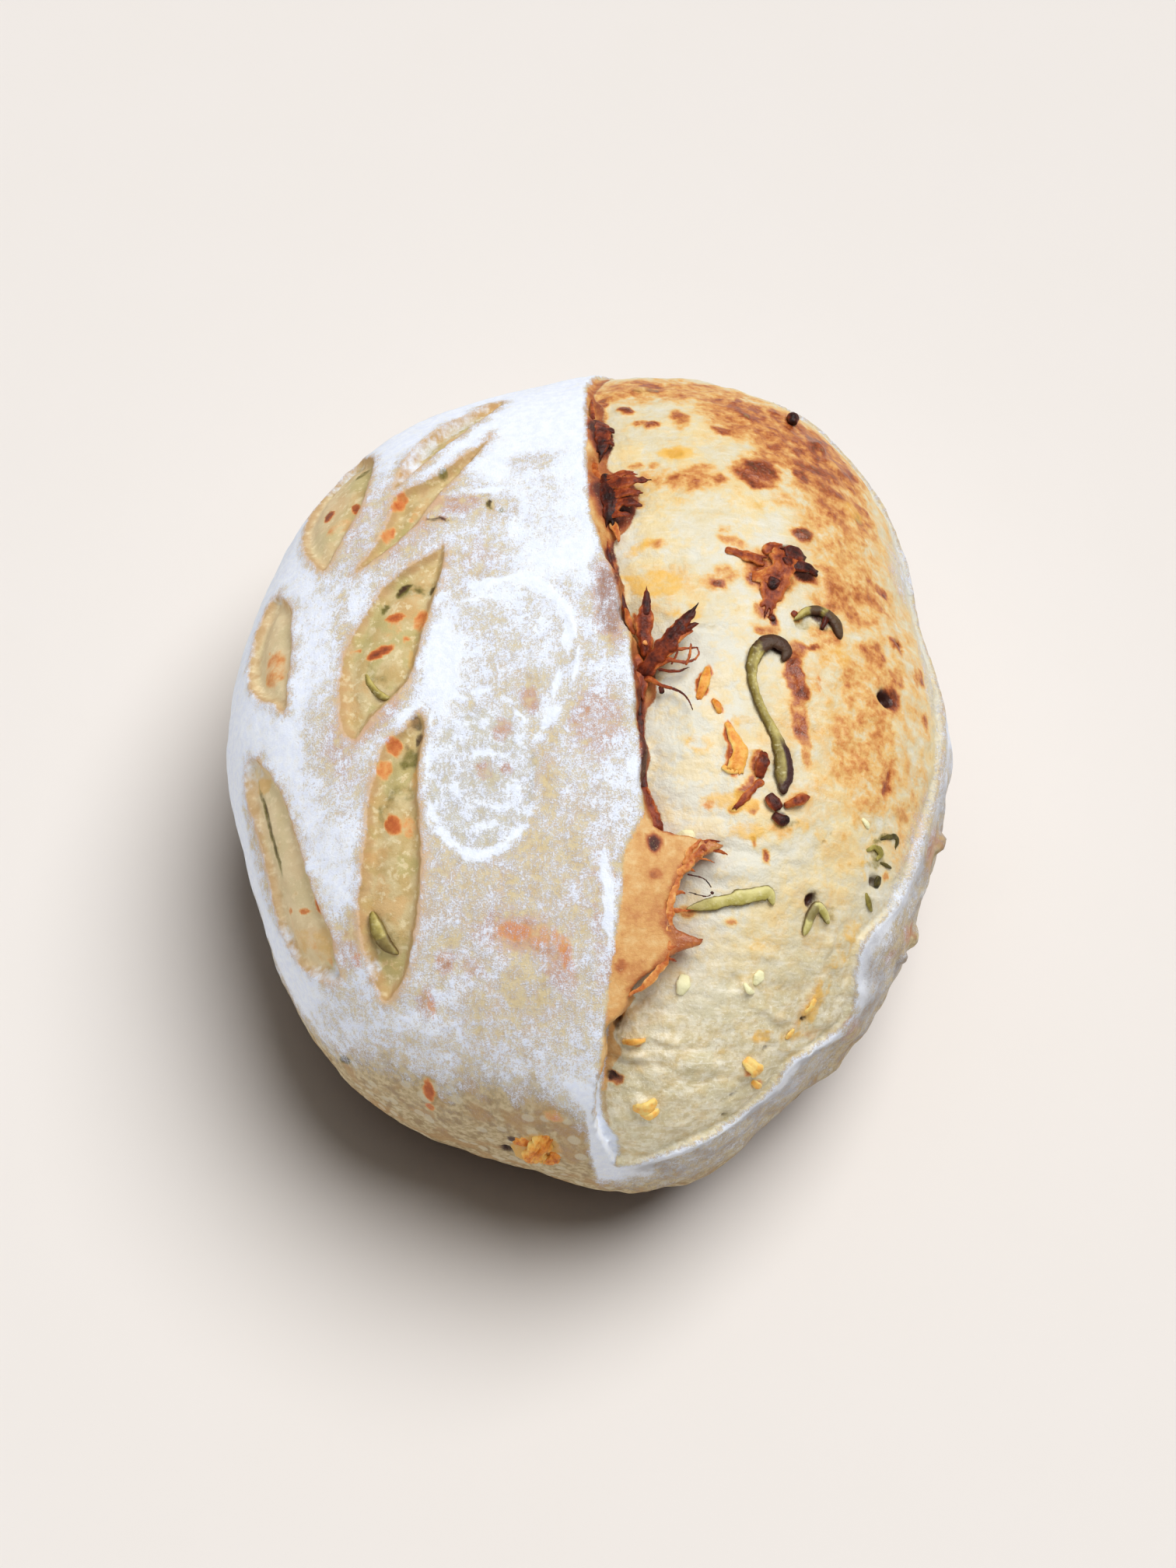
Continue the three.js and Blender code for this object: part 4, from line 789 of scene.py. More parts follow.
def floor_map():
    """The surface with the long cut open, the crust without it, and how far each place is open."""
    rim = (through_knots(RIM_EDGE, AXIS) + 0.5 * noise_along(AXIS / 4, 2.5, 72))[None, :]
    tips = np.minimum(AXIS - OPENING_NEAR, OPENING_FAR - AXIS)[None, :]
    inside = smoothstep(-1.2, 1.6, rim - U) * smoothstep(0, 5, tips)
    leaf = smoothstep(-0.3, 1.7, LEAF_INSIDE)
    crust = CRUST + (LEAF_FLOOR - CRUST) * leaf
    leaf_grain = 0.22 * bumps(5, 5, 75) + 0.08 * bumps(1.8, 1.8, 76)
    crust = crust + leaf_grain * leaf + RELIEF_MAP * (1 - inside)
    floor = crust + (CRUMB + RELIEF_MAP - crust) * inside
    return floor.astype(np.float32), crust.astype(np.float32), inside


FLOOR, OUTER, OPEN = floor_map()
COVER_RISE = 5  # mm over the open side's floor, so that the cover cuts nothing off it
RAISED = np.maximum(FLOOR + COVER_RISE - OUTER, 0)
COVER = (OUTER + RAISED * OPEN * smoothstep(-6, 0, U - lip_edge(V))).astype(np.float32)
TORN_WALL = (  # along the long cut: u of the lip, its lift, the run of the torn face, and its depth
    lip_edge(AXIS) + 0.5 * noise_along(AXIS / 1.3, 0.5, 71),
    through_knots(EAR_LIFT, AXIS),
    through_knots(TORN_FACE_RUN, AXIS),
    through_knots(EAR_DEPTH, AXIS),
)
LIP_HEIGHT = 0.3  # mm from the top of the lift down to where the torn face starts


def solid_field(u, v, h):
    """Negative inside the bread, positive outside, in mm near the surface."""
    lip, lift, run, depth = (np.interp(v, AXIS, line) for line in TORN_WALL)
    cover = np.where(u < lip, sample(OUTER, u, v), sample(COVER, u, v))
    top = lift - LIP_HEIGHT
    drop = np.clip((top - h) / np.maximum(top + depth, 1), 0, 1.3)
    undercut = smoothstep(0.25, 0.9, drop)
    flakes = 0.5 * noise(v / 1.9, h / 1.4, 73) + 0.35 * noise(v / 0.9 + 7, h / 0.9, 74)
    wall = lip + np.where(run > 0, run * drop, run * undercut) + flakes * smoothstep(0, 0.2, drop)
    air = smooth_min(u - wall, h - sample(FLOOR, u, v), 0.9)
    return smooth_max(h - cover, air, 0.6)


def largest_part(points, quads):
    """The largest connected part, without the loose crumbs that the noise cut off."""
    label = np.arange(len(points))
    while True:
        low = label[quads].min(1)
        fresh = label.copy()
        np.minimum.at(fresh, quads.ravel(), np.repeat(low, 4))
        fresh = fresh[fresh]
        if (fresh == label).all():
            break
        label = fresh
    names, counts = np.unique(label, return_counts=True)
    kept = label == names[counts.argmax()]
    index = np.cumsum(kept) - 1
    return points[kept], index[quads[kept[quads[:, 0]]]]


BAND = 3  # voxels on either side of a surface that hold distances
NEAR_SKIN = 15  # mm from the skin within which the solid's surface lies


def meshed(field, voxel, corner):
    """Points and quads of the surface where the field is zero, without loose crumbs."""
    band = BAND * voxel
    grid = openvdb.FloatGrid(band)
    grid.copyFromArray(np.clip(field, -band, band).astype(np.float32))
    points, quads = grid.convertToQuads(0.0)
    return largest_part(points.astype(float) * voxel + corner, quads)


def loaf_mesh():
    """The loaf's surface, with its distances worked out one plane of the grid after another."""
    axes = [np.arange(LOW_CORNER[k], HIGH_CORNER[k], VOXEL) for k in range(3)]
    field = np.empty([len(a) for a in axes], np.float32)
    y, z = np.meshgrid(axes[1], axes[2], indexing="ij")
    for i, x in enumerate(axes[0]):
        u, v, h = skin_at(np.full_like(y, x), y, z)
        plane = np.where(h > 0, BAND * VOXEL, -BAND * VOXEL).astype(np.float32)
        near = np.abs(h) < NEAR_SKIN
        plane[near] = solid_field(u[near], v[near], h[near])
        field[i] = plane
    return meshed(smooth_max(field, np.broadcast_to(-z[None], field.shape), 0.8), VOXEL, LOW_CORNER)


def new_mesh(name, points_mm, faces, smooth=True):
    """A mesh object from points in mm and faces with equally many corners."""
    faces = np.asarray(faces)
    mesh = bpy.data.meshes.new(name)
    mesh.vertices.add(len(points_mm))
    mesh.vertices.foreach_set("co", (np.asarray(points_mm) * MM).astype(np.float32).ravel())
    mesh.loops.add(faces.size)
    mesh.loops.foreach_set("vertex_index", faces.astype(np.int32).ravel())
    mesh.polygons.add(len(faces))
    mesh.polygons.foreach_set("loop_start", np.arange(len(faces), dtype=np.int32) * faces.shape[1])
    mesh.update(calc_edges=True)
    mesh.validate()
    if smooth:
        mesh.polygons.foreach_set("use_smooth", np.ones(len(mesh.polygons), bool))
    obj = bpy.data.objects.new(name, mesh)
    bpy.context.scene.collection.objects.link(obj)
    return obj


def add_values(obj, name, values):
    """Stores a number, or three, at each of the object's points."""
    values = np.asarray(values, np.float32)
    kind = "FLOAT_VECTOR" if values.ndim == 2 else "FLOAT"
    layer = obj.data.attributes.new(name, kind, "POINT")
    layer.data.foreach_set("vector" if values.ndim == 2 else "value", values.ravel())


# ---- materials ----------------------------------------------------------------------------------


def linear(red, green, blue):
    """A colour given in the usual 0 to 255 values."""
    parts = [c / 255 for c in (red, green, blue)]
    return [c / 12.92 if c < 0.04045 else ((c + 0.055) / 1.055) ** 2.4 for c in parts] + [1.0]


class Nodes:
    """Builds a material's node tree. Inputs are numbers, colours or other nodes' outputs."""

    def __init__(self, name):
        self.material = bpy.data.materials.new(name)
        self.material.use_nodes = True
        self.tree = self.material.node_tree
        self.shader = next(n for n in self.tree.nodes if n.type == "BSDF_PRINCIPLED")

    def put(self, socket, value):
        if isinstance(value, bpy.types.NodeSocket):
            self.tree.links.new(value, socket)
        else:
            socket.default_value = value

    def value(self, name, output="Fac"):
        node = self.tree.nodes.new("ShaderNodeAttribute")
        node.attribute_name = name
        return node.outputs[output]

    def three_values(self, name):
        node = self.tree.nodes.new("ShaderNodeSeparateXYZ")
        self.put(node.inputs[0], self.value(name, "Vector"))
        return node.outputs

    def object_place(self):
        return self.tree.nodes.new("ShaderNodeTexCoord").outputs["Object"]

    def stretched(self, vector, x, y, z):
        node = self.tree.nodes.new("ShaderNodeVectorMath")
        node.operation = "MULTIPLY"
        self.put(node.inputs[0], vector)
        node.inputs[1].default_value = (x, y, z)
        return node.outputs[0]

    def noise(self, vector, scale, detail=3.0, roughness=0.55):
        node = self.tree.nodes.new("ShaderNodeTexNoise")
        self.put(node.inputs["Vector"], vector)
        node.inputs["Scale"].default_value = scale
        node.inputs["Detail"].default_value = detail
        node.inputs["Roughness"].default_value = roughness
        return node.outputs["Fac"]

    def cells(self, vector, scale):
        node = self.tree.nodes.new("ShaderNodeTexVoronoi")
        self.put(node.inputs["Vector"], vector)
        node.inputs["Scale"].default_value = scale
        return node.outputs["Distance"]

    def math(self, operation, a, b, clamp=False):
        node = self.tree.nodes.new("ShaderNodeMath")
        node.operation = operation
        node.use_clamp = clamp
        self.put(node.inputs[0], a)
        self.put(node.inputs[1], b)
        return node.outputs[0]

    def plus(self, a, b, clamp=False):
        return self.math("ADD", a, b, clamp)

    def minus(self, a, b, clamp=False):
        return self.math("SUBTRACT", a, b, clamp)

    def times(self, a, b):
        return self.math("MULTIPLY", a, b)

    def mixed(self, *parts):
        """The sum of noises about zero, each given with its weight."""
        total = None
        for source, amount in parts:
            part = self.times(self.minus(source, 0.5), amount)
            total = part if total is None else self.plus(total, part)
        return total

    def span(self, value, low, high, to_low=0.0, to_high=1.0, smooth=True):
        node = self.tree.nodes.new("ShaderNodeMapRange")
        node.interpolation_type = "SMOOTHSTEP" if smooth else "LINEAR"
        self.put(node.inputs["Value"], value)
        for key, number in zip(("From Min", "From Max", "To Min", "To Max"), (low, high, to_low, to_high)):
            node.inputs[key].default_value = number
        return node.outputs[0]

    def mix(self, factor, a, b):
        node = self.tree.nodes.new("ShaderNodeMix")
        node.data_type = "RGBA"
        self.put(node.inputs["Factor"], factor)
        self.put(node.inputs[6], a)
        self.put(node.inputs[7], b)
        return node.outputs[2]

    def tinted(self, colour, *tints):
        """The colour turned towards others: each by a share where its source rises past low to high."""
        for source, low, high, share, tint in tints:
            colour = self.mix(self.span(source, low, high, 0.0, share), colour, linear(*tint))
        return colour

    def blend(self, source, low, high, dark, light):
        """From one colour to the other as the source rises from low to high."""
        return self.mix(self.span(source, low, high), linear(*dark), linear(*light))

    def ramp(self, factor, stops):
        node = self.tree.nodes.new("ShaderNodeValToRGB")
        self.put(node.inputs["Fac"], factor)
        elements = node.color_ramp.elements
        while len(elements) < len(stops):
            elements.new(0.5)
        for element, (position, colour) in zip(elements, stops):
            element.position = position
            element.color = linear(*colour)
        return node.outputs["Color"]

    def bump(self, height, distance, strength, normal=None):
        node = self.tree.nodes.new("ShaderNodeBump")
        self.put(node.inputs["Height"], height)
        node.inputs["Distance"].default_value = distance
        node.inputs["Strength"].default_value = strength
        if normal is not None:
            self.put(node.inputs["Normal"], normal)
        return node.outputs["Normal"]

    def finish(self, colour, roughness, normal=None, **settings):
        self.put(self.shader.inputs["Base Color"], colour)
        self.put(self.shader.inputs["Roughness"], roughness)
        if normal is not None:
            self.put(self.shader.inputs["Normal"], normal)
        for key, number in settings.items():
            self.shader.inputs[key.replace("_", " ")].default_value = number
        return self.material


FINE_BUMP = 0.0005  # m
SOFT_BUMP = 0.0018  # m
TOAST_RAMP = [
    (0.0, (223, 219, 202)), (0.14, (223, 208, 169)), (0.32, (229, 182, 110)), (0.48, (210, 140, 74)),
    (0.64, (168, 84, 40)), (0.82, (114, 50, 26)), (1.0, (58, 26, 18)),
]
TORN_RAMP = [
    (0.0, (236, 206, 150)), (0.22, (218, 164, 98)), (0.42, (192, 118, 64)), (0.62, (150, 74, 44)),
    (0.8, (94, 44, 32)), (1.0, (50, 24, 20)),
]
SPOT_RAMP = [(0.2, (232, 190, 122)), (0.45, (222, 146, 76)), (0.7, (192, 98, 44)), (0.95, (146, 66, 32))]


def loaf_material():
    n = Nodes("loaf_surface")
    skin = n.value("skin", "Vector")
    coarse = n.noise(skin, 0.09, 4)
    blotch = n.noise(skin, 0.24, 3, 0.5)
    medium = n.noise(skin, 0.55, 3, 0.55)
    grain = n.noise(skin, 1.3, 4, 0.65)
    speck = n.noise(skin, 3.2, 3, 0.6)
    streak = n.noise(n.stretched(skin, 0.22, 1.0, 0.3), 0.8, 4, 0.6)
    scratch = n.noise(n.stretched(skin, 1.0, 0.3, 0.3), 1.2, 4, 0.65)

    # the open side: cream to brown
    toast = n.value("toast")
    uneven = n.mixed((coarse, 1.1), (blotch, 1.5), (medium, 1.0), (grain, 0.5))
    weight = n.span(toast, 0.05, 0.4, 0.16, 0.55)
    toasted = n.plus(toast, n.times(uneven, weight), clamp=True)
    crumb = n.ramp(toasted, TOAST_RAMP)
    unbrowned = n.span(toasted, 0.42, 0.16)
    films = n.span(n.plus(coarse, n.mixed((medium, 0.5))), 0.44, 0.62, 0.0, 0.45)
    crumb = n.mix(n.times(films, unbrowned), crumb, linear(240, 212, 146))
    # painted highlights: pale streaks along the stretched crumb
    streak_highlights = n.times(n.span(streak, 0.53, 0.72, 0.0, 0.35), unbrowned)
    crumb = n.mix(streak_highlights, crumb, linear(244, 236, 216))
    pale_grains = n.times(n.span(grain, 0.6, 0.74, 0.0, 0.4), unbrowned)
    crumb = n.mix(pale_grains, crumb, linear(250, 244, 228))
    # light flecks: small blisters, partly painted glints
    crumb = n.tinted(crumb, (speck, 0.64, 0.74, 0.5, (246, 226, 190)))
    slack = n.value("slack")
    slack_colour = n.blend(medium, 0.38, 0.62, (238, 229, 202), (214, 200, 160))
    slack_colour = n.tinted(slack_colour, (blotch, 0.5, 0.64, 0.5, (222, 196, 140)))
    slack_colour = n.mix(n.span(coarse, 0.42, 0.52, 0.5, 0.0), slack_colour, linear(206, 194, 148))
    slack_colour = n.tinted(
        slack_colour,
        # pale streaks: painted highlights
        (streak, 0.52, 0.66, 0.5, (248, 243, 226)),
        (grain, 0.56, 0.68, 0.7, (252, 247, 232)),
        (grain, 0.42, 0.32, 0.5, (184, 164, 118)),
    )
    crumb = n.mix(n.times(slack, n.span(toast, 0.5, 0.2, 0.1, 0.85)), crumb, slack_colour)
    # painted shade: the crumb darkens in the creases between its lumps
    crumb = n.mix(n.times(n.value("fold"), 0.4), crumb, linear(196, 168, 118))
    yellow = n.span(n.plus(n.value("yellow"), n.times(uneven, 0.7)), 0.2, 0.85)
    crumb = n.mix(n.times(yellow, 0.75), crumb, linear(236, 184, 76))

    # the crust without flour
    crust = n.tinted(
        n.blend(medium, 0.36, 0.64, (218, 199, 156), (198, 170, 122)),
        (blotch, 0.48, 0.62, 0.7, (200, 165, 130)),
        (coarse, 0.52, 0.64, 0.5, (186, 150, 116)),
    )
    glazed = n.mix(medium, linear(204, 204, 190), linear(178, 174, 156))
    crust = n.mix(n.times(n.value("oval"), 0.7), crust, glazed)
    belly = n.tinted(
        n.blend(medium, 0.36, 0.64, (208, 190, 152), (176, 153, 112)),
        (blotch, 0.5, 0.64, 0.8, (154, 126, 84)),
        (coarse, 0.48, 0.62, 0.7, (178, 138, 88)),
        (n.cells(skin, 0.16), 0.34, 0.24, 0.65, (214, 204, 176)),
    )
    crust = n.mix(n.value("belly"), crust, belly)
    pinkish = n.span(n.plus(n.value("pink"), n.mixed((medium, 1.2), (blotch, 1.4))), 0.25, 0.9)
    pink_colour = n.blend(blotch, 0.42, 0.6, (204, 164, 138), (192, 136, 98))
    pink_colour = n.mix(n.span(n.value("pink"), 0.85, 1.0), pink_colour, linear(150, 108, 94))
    crust = n.mix(pinkish, crust, pink_colour)
    crust = n.mix(n.value("under"), crust, linear(120, 92, 62))

    # the floor of the leaf cuts
    leaf = n.tinted(
        n.blend(blotch, 0.38, 0.62, (212, 192, 144), (196, 168, 112)),
        (coarse, 0.5, 0.6, 0.65, (184, 172, 112)),
        (coarse, 0.46, 0.36, 0.6, (212, 168, 110)),
        (medium, 0.54, 0.66, 0.7, (230, 214, 172)),
        (grain, 0.62, 0.74, 0.4, (190, 146, 88)),
    )
    # painted light: the leaf floors on the left flank are made paler, as if lit more brightly
    leaf = n.mix(n.times(n.value("left"), 0.5), leaf, linear(240, 220, 184))
    inside = n.value("leaf")
    # painted shade: a darker tan band just inside the edge of each leaf cut, where its wall drops to the
    # floor
    leaf_edge_shade = n.plus(inside, n.mixed((medium, 2.0), (blotch, 6.0)))
    leaf = n.mix(n.span(leaf_edge_shade, 0.0, 2.4, 0.7, 0.0), leaf, linear(186, 142, 92))
    halo = n.plus(inside, n.mixed((medium, 2.0), (blotch, 2.0)))
    crust = n.tinted(crust, (halo, -3.4, -0.2, 0.7, (216, 180, 146)))
    crust = n.mix(n.span(n.plus(inside, n.mixed((grain, 0.8))), -0.15, 0.35), crust, leaf)
    crust = n.mix(n.times(yellow, n.span(inside, -1.0, 1.0, 0.9, 0.55)), crust, linear(220, 170, 84))

    # the torn face between crust and crumb
    fibre = n.mixed((coarse, 1.0), (blotch, 0.8), (medium, 0.5), (grain, 0.5))
    torn = n.ramp(n.plus(n.value("char"), n.times(fibre, 0.55), clamp=True), TORN_RAMP)
    # pale yellow flecks: partly painted highlights on the torn face
    torn = n.tinted(torn, (grain, 0.58, 0.72, 0.5, (240, 200, 138)))
    is_crumb = n.span(n.plus(n.value("opening"), n.mixed((grain, 1.6))), -0.4, 0.4)
    is_torn = n.span(n.plus(n.value("torn"), n.mixed((grain, 1.6))), -0.3, 0.3)
    colour = n.mix(is_crumb, crust, crumb)
    colour = n.mix(is_torn, colour, torn)

    # spots of cheese and pepper, burnt spots, and painted shade in holes and under scraps
    spotted = n.plus(n.value("orange"), n.times(uneven, 0.4), clamp=True)
    orange_colour = n.ramp(spotted, SPOT_RAMP)
    orange = n.span(spotted, 0.12, 0.6)
    colour = n.mix(orange, colour, orange_colour)
    olive = n.span(n.plus(n.value("olive"), n.times(uneven, 0.6)), 0.2, 1.0)
    colour = n.mix(olive, colour, n.mix(grain, linear(136, 126, 60), linear(96, 86, 34)))
    # burnt spots, and painted shade in holes and under scraps
    dark = n.span(n.plus(n.value("dark"), n.times(uneven, 0.4)), 0.2, 0.95)
    colour = n.mix(dark, colour, n.mix(grain, linear(78, 40, 30), linear(46, 24, 20)))

    # flour: a haze with grains that show where it is thin
    amount = n.value("flour")
    uncertain = n.span(amount, 1.0, 0.7, 0.3, 1.0)
    drifts = n.mixed((medium, 1.3), (blotch, 1.4), (coarse, 1.0), (scratch, 1.0))
    broad = n.times(drifts, uncertain)
    powder = n.plus(broad, n.times(n.mixed((grain, 1.9), (speck, 3.8)), uncertain))
    soft = n.span(n.plus(amount, broad), 0.0, 0.95, smooth=False)
    grains = n.span(n.plus(amount, powder), 0.25, 0.85)
    share = n.span(inside, -0.5, 0.5, 0.5, 0.1)
    haze = n.plus(n.times(soft, n.minus(1.0, share)), n.times(grains, share))
    haze = n.times(haze, n.span(amount, 0.0, 0.15))
    flour = n.blend(medium, 0.35, 0.7, (242, 247, 255), (232, 238, 252))
    flour = n.tinted(flour, (scratch, 0.5, 0.75, 0.5, (226, 231, 245)))
    # painted shade: flour on the near right side past the rim turns grey, as where that side turns from the
    # light
    shaded_rim_flour = n.blend(coarse, 0.4, 0.62, (236, 239, 246), (196, 196, 200))
    flour = n.mix(n.value("shade_and_belly_past_rim"), flour, shaded_rim_flour)
    colour = n.mix(haze, colour, flour)

    # gloss and fine relief
    gloss = n.math("MAXIMUM", is_torn, n.math("MAXIMUM", orange, dark))
    gloss = n.math("MAXIMUM", gloss, n.span(toasted, 0.45, 0.75))
    roughness = n.minus(n.span(is_crumb, 0.0, 1.0, 0.75, 0.48), n.times(gloss, 0.2))
    roughness = n.plus(roughness, n.times(haze, 0.3), clamp=True)
    rough = n.plus(n.times(grain, 0.7), n.times(speck, 0.5))
    rough = n.times(rough, n.span(is_crumb, 0.0, 1.0, 1.0, 0.45))
    normal = n.bump(n.plus(rough, n.times(haze, 0.9)), FINE_BUMP, 0.6)
    normal = n.bump(n.times(n.plus(medium, blotch), is_crumb), SOFT_BUMP, 0.25, normal)
    return n.finish(colour, roughness, normal, Specular_IOR_Level=0.36)


# ---- colour fields at the loaf's points ----------------------------------------------------------

FLOUR_EDGE = [  # u of the right-hand border of the flour against v
    (-150, 8), (-125, 8), (-118, 4), (-110, 2.6), (-100, 3.5), (-90, 4.5), (-80, 5.2), (-70, 6.3),
    (-60, 7.8), (-50, 8.3), (-44, 11), (-40, 12.5), (-30, 11.8), (-20, 11.3), (-10, 10.8), (0, 9.8),
    (10, 8.8), (20, 6), (25, 4.5), (35, 1.4), (45, 0), (67, -0.4), (97, 0), (115, 4), (127, 11),
]
TORN_EDGE = [  # u of the right-hand edge of the torn face against v
    (-135, 9), (-112, 4), (-104, 5), (-98, 8), (-94, 5.6), (-88, 9), (-82, 11), (-80.5, 10.5), (-79, 12),
    (-76, 15.5), (-72.5, 18.5), (-69.5, 19.5), (-66, 18), (-62, 18.8), (-58, 20), (-54, 21.5), (-50, 24.5),
    (-46.5, 26.5), (-45, 17.6), (-40, 17.5), (-35, 15.5), (-30, 13.5), (-25, 14.3), (-20, 13.5), (-13, 14),
    (-10, 16), (-4, 16), (4, 16), (10, 12), (14, 9.2), (20, 8), (25, 7.5), (33, 6.4), (37, 10), (43, 12),
    (48, 12.4), (53, 9), (57, 5), (60, 5), (65, 6.4), (72, 6), (77, 4), (84, 4), (92, 1.6), (127, 12),
]
CHAR = [  # where the torn face is charred: marks as in the lists above
    (3.4, 69, 7, 20, 8, 0.86), (6.5, 45.5, 12, 20, 12, 0.92), (1.6, 52, 4, 22, 0, 0.45),
    (6, 30, 3, 14, -20, 0.8), (7, 22, 3, 14, -14, 0.8), (9, 10, 3.4, 16, -8, 0.62),
    (12.4, -3, 6, 14, 0, 0.55), (12.6, -16, 3, 26, -2, 0.75), (12.8, -28, 3, 18, 0, 0.8),
    (15, -39, 5, 12, 14, 0.55), (14.8, -48, 3.4, 4.4, 0, 0.95), (15, -55, 4, 3.4, 0, 0.44),
    (7.5, -75, 3.4, 3.4, 0, 0.42), (3.4, 88, 3.6, 9, 0, 0.55), (1, 95, 3, 10, 0, 0.35),
]
TORN_TAN = 0.2  # how browned the torn face is away from its rim
TORN_RIM = (4.2, 0.6)  # mm from the rim of the torn face where the browning starts and where it is full
TORN_REACH = 110  # mm of v, from the crown to either end of the torn face
FLOUR_FOOT = [  # v of the lower border of the flour against u
    (-140, -60), (-100, -84), (-84, -96), (-70, -98), (-55, -96), (-45, -103), (-38, -104), (-30, -100),
    (-20, -101), (-12, -100), (-5, -105), (0, -112), (3, -150), (140, -150),
]


def flour_foot(u):
    return np.interp(u, *np.array(FLOUR_FOOT, float).T)


def flour_map():
    """How much flour lies at each place, from 0 to 1."""
    edge = through_knots(FLOUR_EDGE, AXIS)[None, :]
    rim = through_knots(RIM_EDGE, AXIS)[None, :]
    wobble = 0.5 * bumps(1.4, 1.4, 81)

    # on the left of the flour's edge, on the right of the rim, and past both ends of the long cut
    left = smoothstep(-0.5, 0.9, edge - U + wobble * 0.6)
    soft_rim = 1.5 + 8 * smoothstep(-62, -40, V)
    right = smoothstep(0, 1, (U - rim + soft_rim * 0.35 + wobble) / soft_rim)
    far_end = smoothstep(OPENING_FAR - 2, OPENING_FAR + 2, V)
    near_end = smoothstep(OPENING_NEAR + 2, OPENING_NEAR - 2, V)
    sides = np.clip(left + right + (far_end + near_end), 0, 1)

    # thinner where it is worn and past the near right rim, thicker on ridges and drifts
    past_rim = smoothstep(3, 10, U - rim + 3 * bumps(9, 9, 83)) * smoothstep(10, -20, V) * (U > 20)
    amount = sides - paint(WORN, 0.8) * (1 - 0.1 * right) - 0.45 * past_rim
    amount = amount + paint(FLOUR_ADDED, 0.4) * 0.55 * sides + paint(DUSTED, 0.7) * (1 - sides)
    clumps = 0.35 * bumps(4, 5, 88) + 0.4 * bumps(1.2, 1.5, 89)
    amount = amount + 0.5 * OVAL_RIDGES * sides + OVALS * clumps

    # little of it low on the sides and underneath
    low = smoothstep(-11, 7, V - flour_foot(U) + 3.2 * layered_bumps(7, 12, 82))
    amount = amount * (0.05 + 0.95 * low)
    underside = smoothstep(150, 122, reach_of(U, V) + 4 * layered_bumps(14, 14, 86))
    amount = amount * (0.1 + 0.9 * underside)

    # thin beside the leaf cuts, none in them but for the veils
    thin_edge = 0.65 * np.exp(np.minimum(LEAF_INSIDE, 0) / 1.5) * (1 + 0.8 * bumps(5, 5, 87))
    amount = (amount - thin_edge) * smoothstep(0.3, -0.3, LEAF_INSIDE + wobble * 0.4)
    amount = amount + paint(VEIL, 0.6) * smoothstep(-0.5, 0.5, LEAF_INSIDE)
    amount = amount - paint(BARE, 0.3)
    return np.clip(amount, 0, 1).astype(np.float32)


MARK_FIELDS = [  # name, marks, and how soft the marks' edges are
    ("toast", TOAST, 0.45), ("pink", PINK, 0.45), ("yellow", YELLOW, 0.3),
    ("orange", ORANGE, 0.3), ("olive", OLIVE, 0.3), ("dark", BURNT_AND_SHADE, 0.3),
]


EDGE_LIMIT = 6  # mm from an edge beyond which the distance to it no longer matters
LEAF_LIMIT = 9  # mm, the same for places inside a leaf cut


def colour_fields(u, v, h):
    """Values for the loaf's material at its points."""
    fields = {}
    torn_right = np.interp(v, AXIS, through_knots(TORN_EDGE, AXIS))
    rim = np.interp(v, AXIS, through_knots(RIM_EDGE, AXIS))
    from_sides = np.minimum(u - torn_right, rim - u)
    from_ends = np.minimum(v - OPENING_NEAR, OPENING_FAR - v)
    fields["opening"] = np.clip(np.minimum(from_sides, from_ends), -EDGE_LIMIT, EDGE_LIMIT)
    torn_left = np.interp(v, AXIS, through_knots(FLOUR_EDGE, AXIS))
    above_floor = h - sample(FLOOR, u, v) - 0.9
    torn = np.minimum(u - torn_left, np.maximum(torn_right - u, above_floor))
    torn = np.minimum(torn, TORN_REACH - np.abs(v))
    fields["torn"] = np.clip(torn, -EDGE_LIMIT, EDGE_LIMIT)
    from_rim = torn_right - u + noise(u / 2, v / 3, 83)
    rim_char = 0.5 * smoothstep(*TORN_RIM, from_rim) * smoothstep(-88, -78, v)
    fields["char"] = np.maximum(np.maximum(sample(paint(CHAR, 0.5), u, v), rim_char), TORN_TAN)
    # how much painted shade lies in the crumb's creases
    fields["fold"] = sample(CREASE_SHADE, u, v)
    for name, marks, soft in MARK_FIELDS:
        fields[name] = sample(paint(marks, soft), u, v)
    fields["leaf"] = np.clip(sample(LEAF_INSIDE, u, v), -EDGE_LIMIT, LEAF_LIMIT)
    fields["flour"] = sample(flour_map(), u, v)
    reach = reach_of(u, v)
    # the near right side past the rim: its flour is painted grey as shade, and its crust takes the belly's
    # browner colour
    shade_and_belly_past_rim = smoothstep(-2, 6, u - rim) * (u > 0) * smoothstep(10, -30, v)
    below_flour = smoothstep(4, -4, v - flour_foot(u))
    fields["belly"] = np.maximum(np.maximum(below_flour, smoothstep(118, 140, reach)), 0.8 * shade_and_belly_past_rim)
    fields["slack"] = smoothstep(-52, -96, v - 0.25 * u + 10)
    fields["oval"] = sample(OVALS, u, v)
    # towards the left flank, where the leaf floors are painted paler as light
    fields["left"] = smoothstep(-58, -76, u)
    fields["under"] = smoothstep(146, 162, reach)
    fields["shade_and_belly_past_rim"] = shade_and_belly_past_rim
    fields["skin"] = np.stack([u, v, h], 1)
    return fields


def make_loaf():
    points, quads = loaf_mesh()
    loaf = new_mesh("loaf_bread", points, quads)
    for name, values in colour_fields(*skin_at(*points.T)).items():
        add_values(loaf, name, values)
    loaf.data.materials.append(loaf_material())
    return loaf


# ---- strips of pepper, and frayed strands --------------------------------------------------------


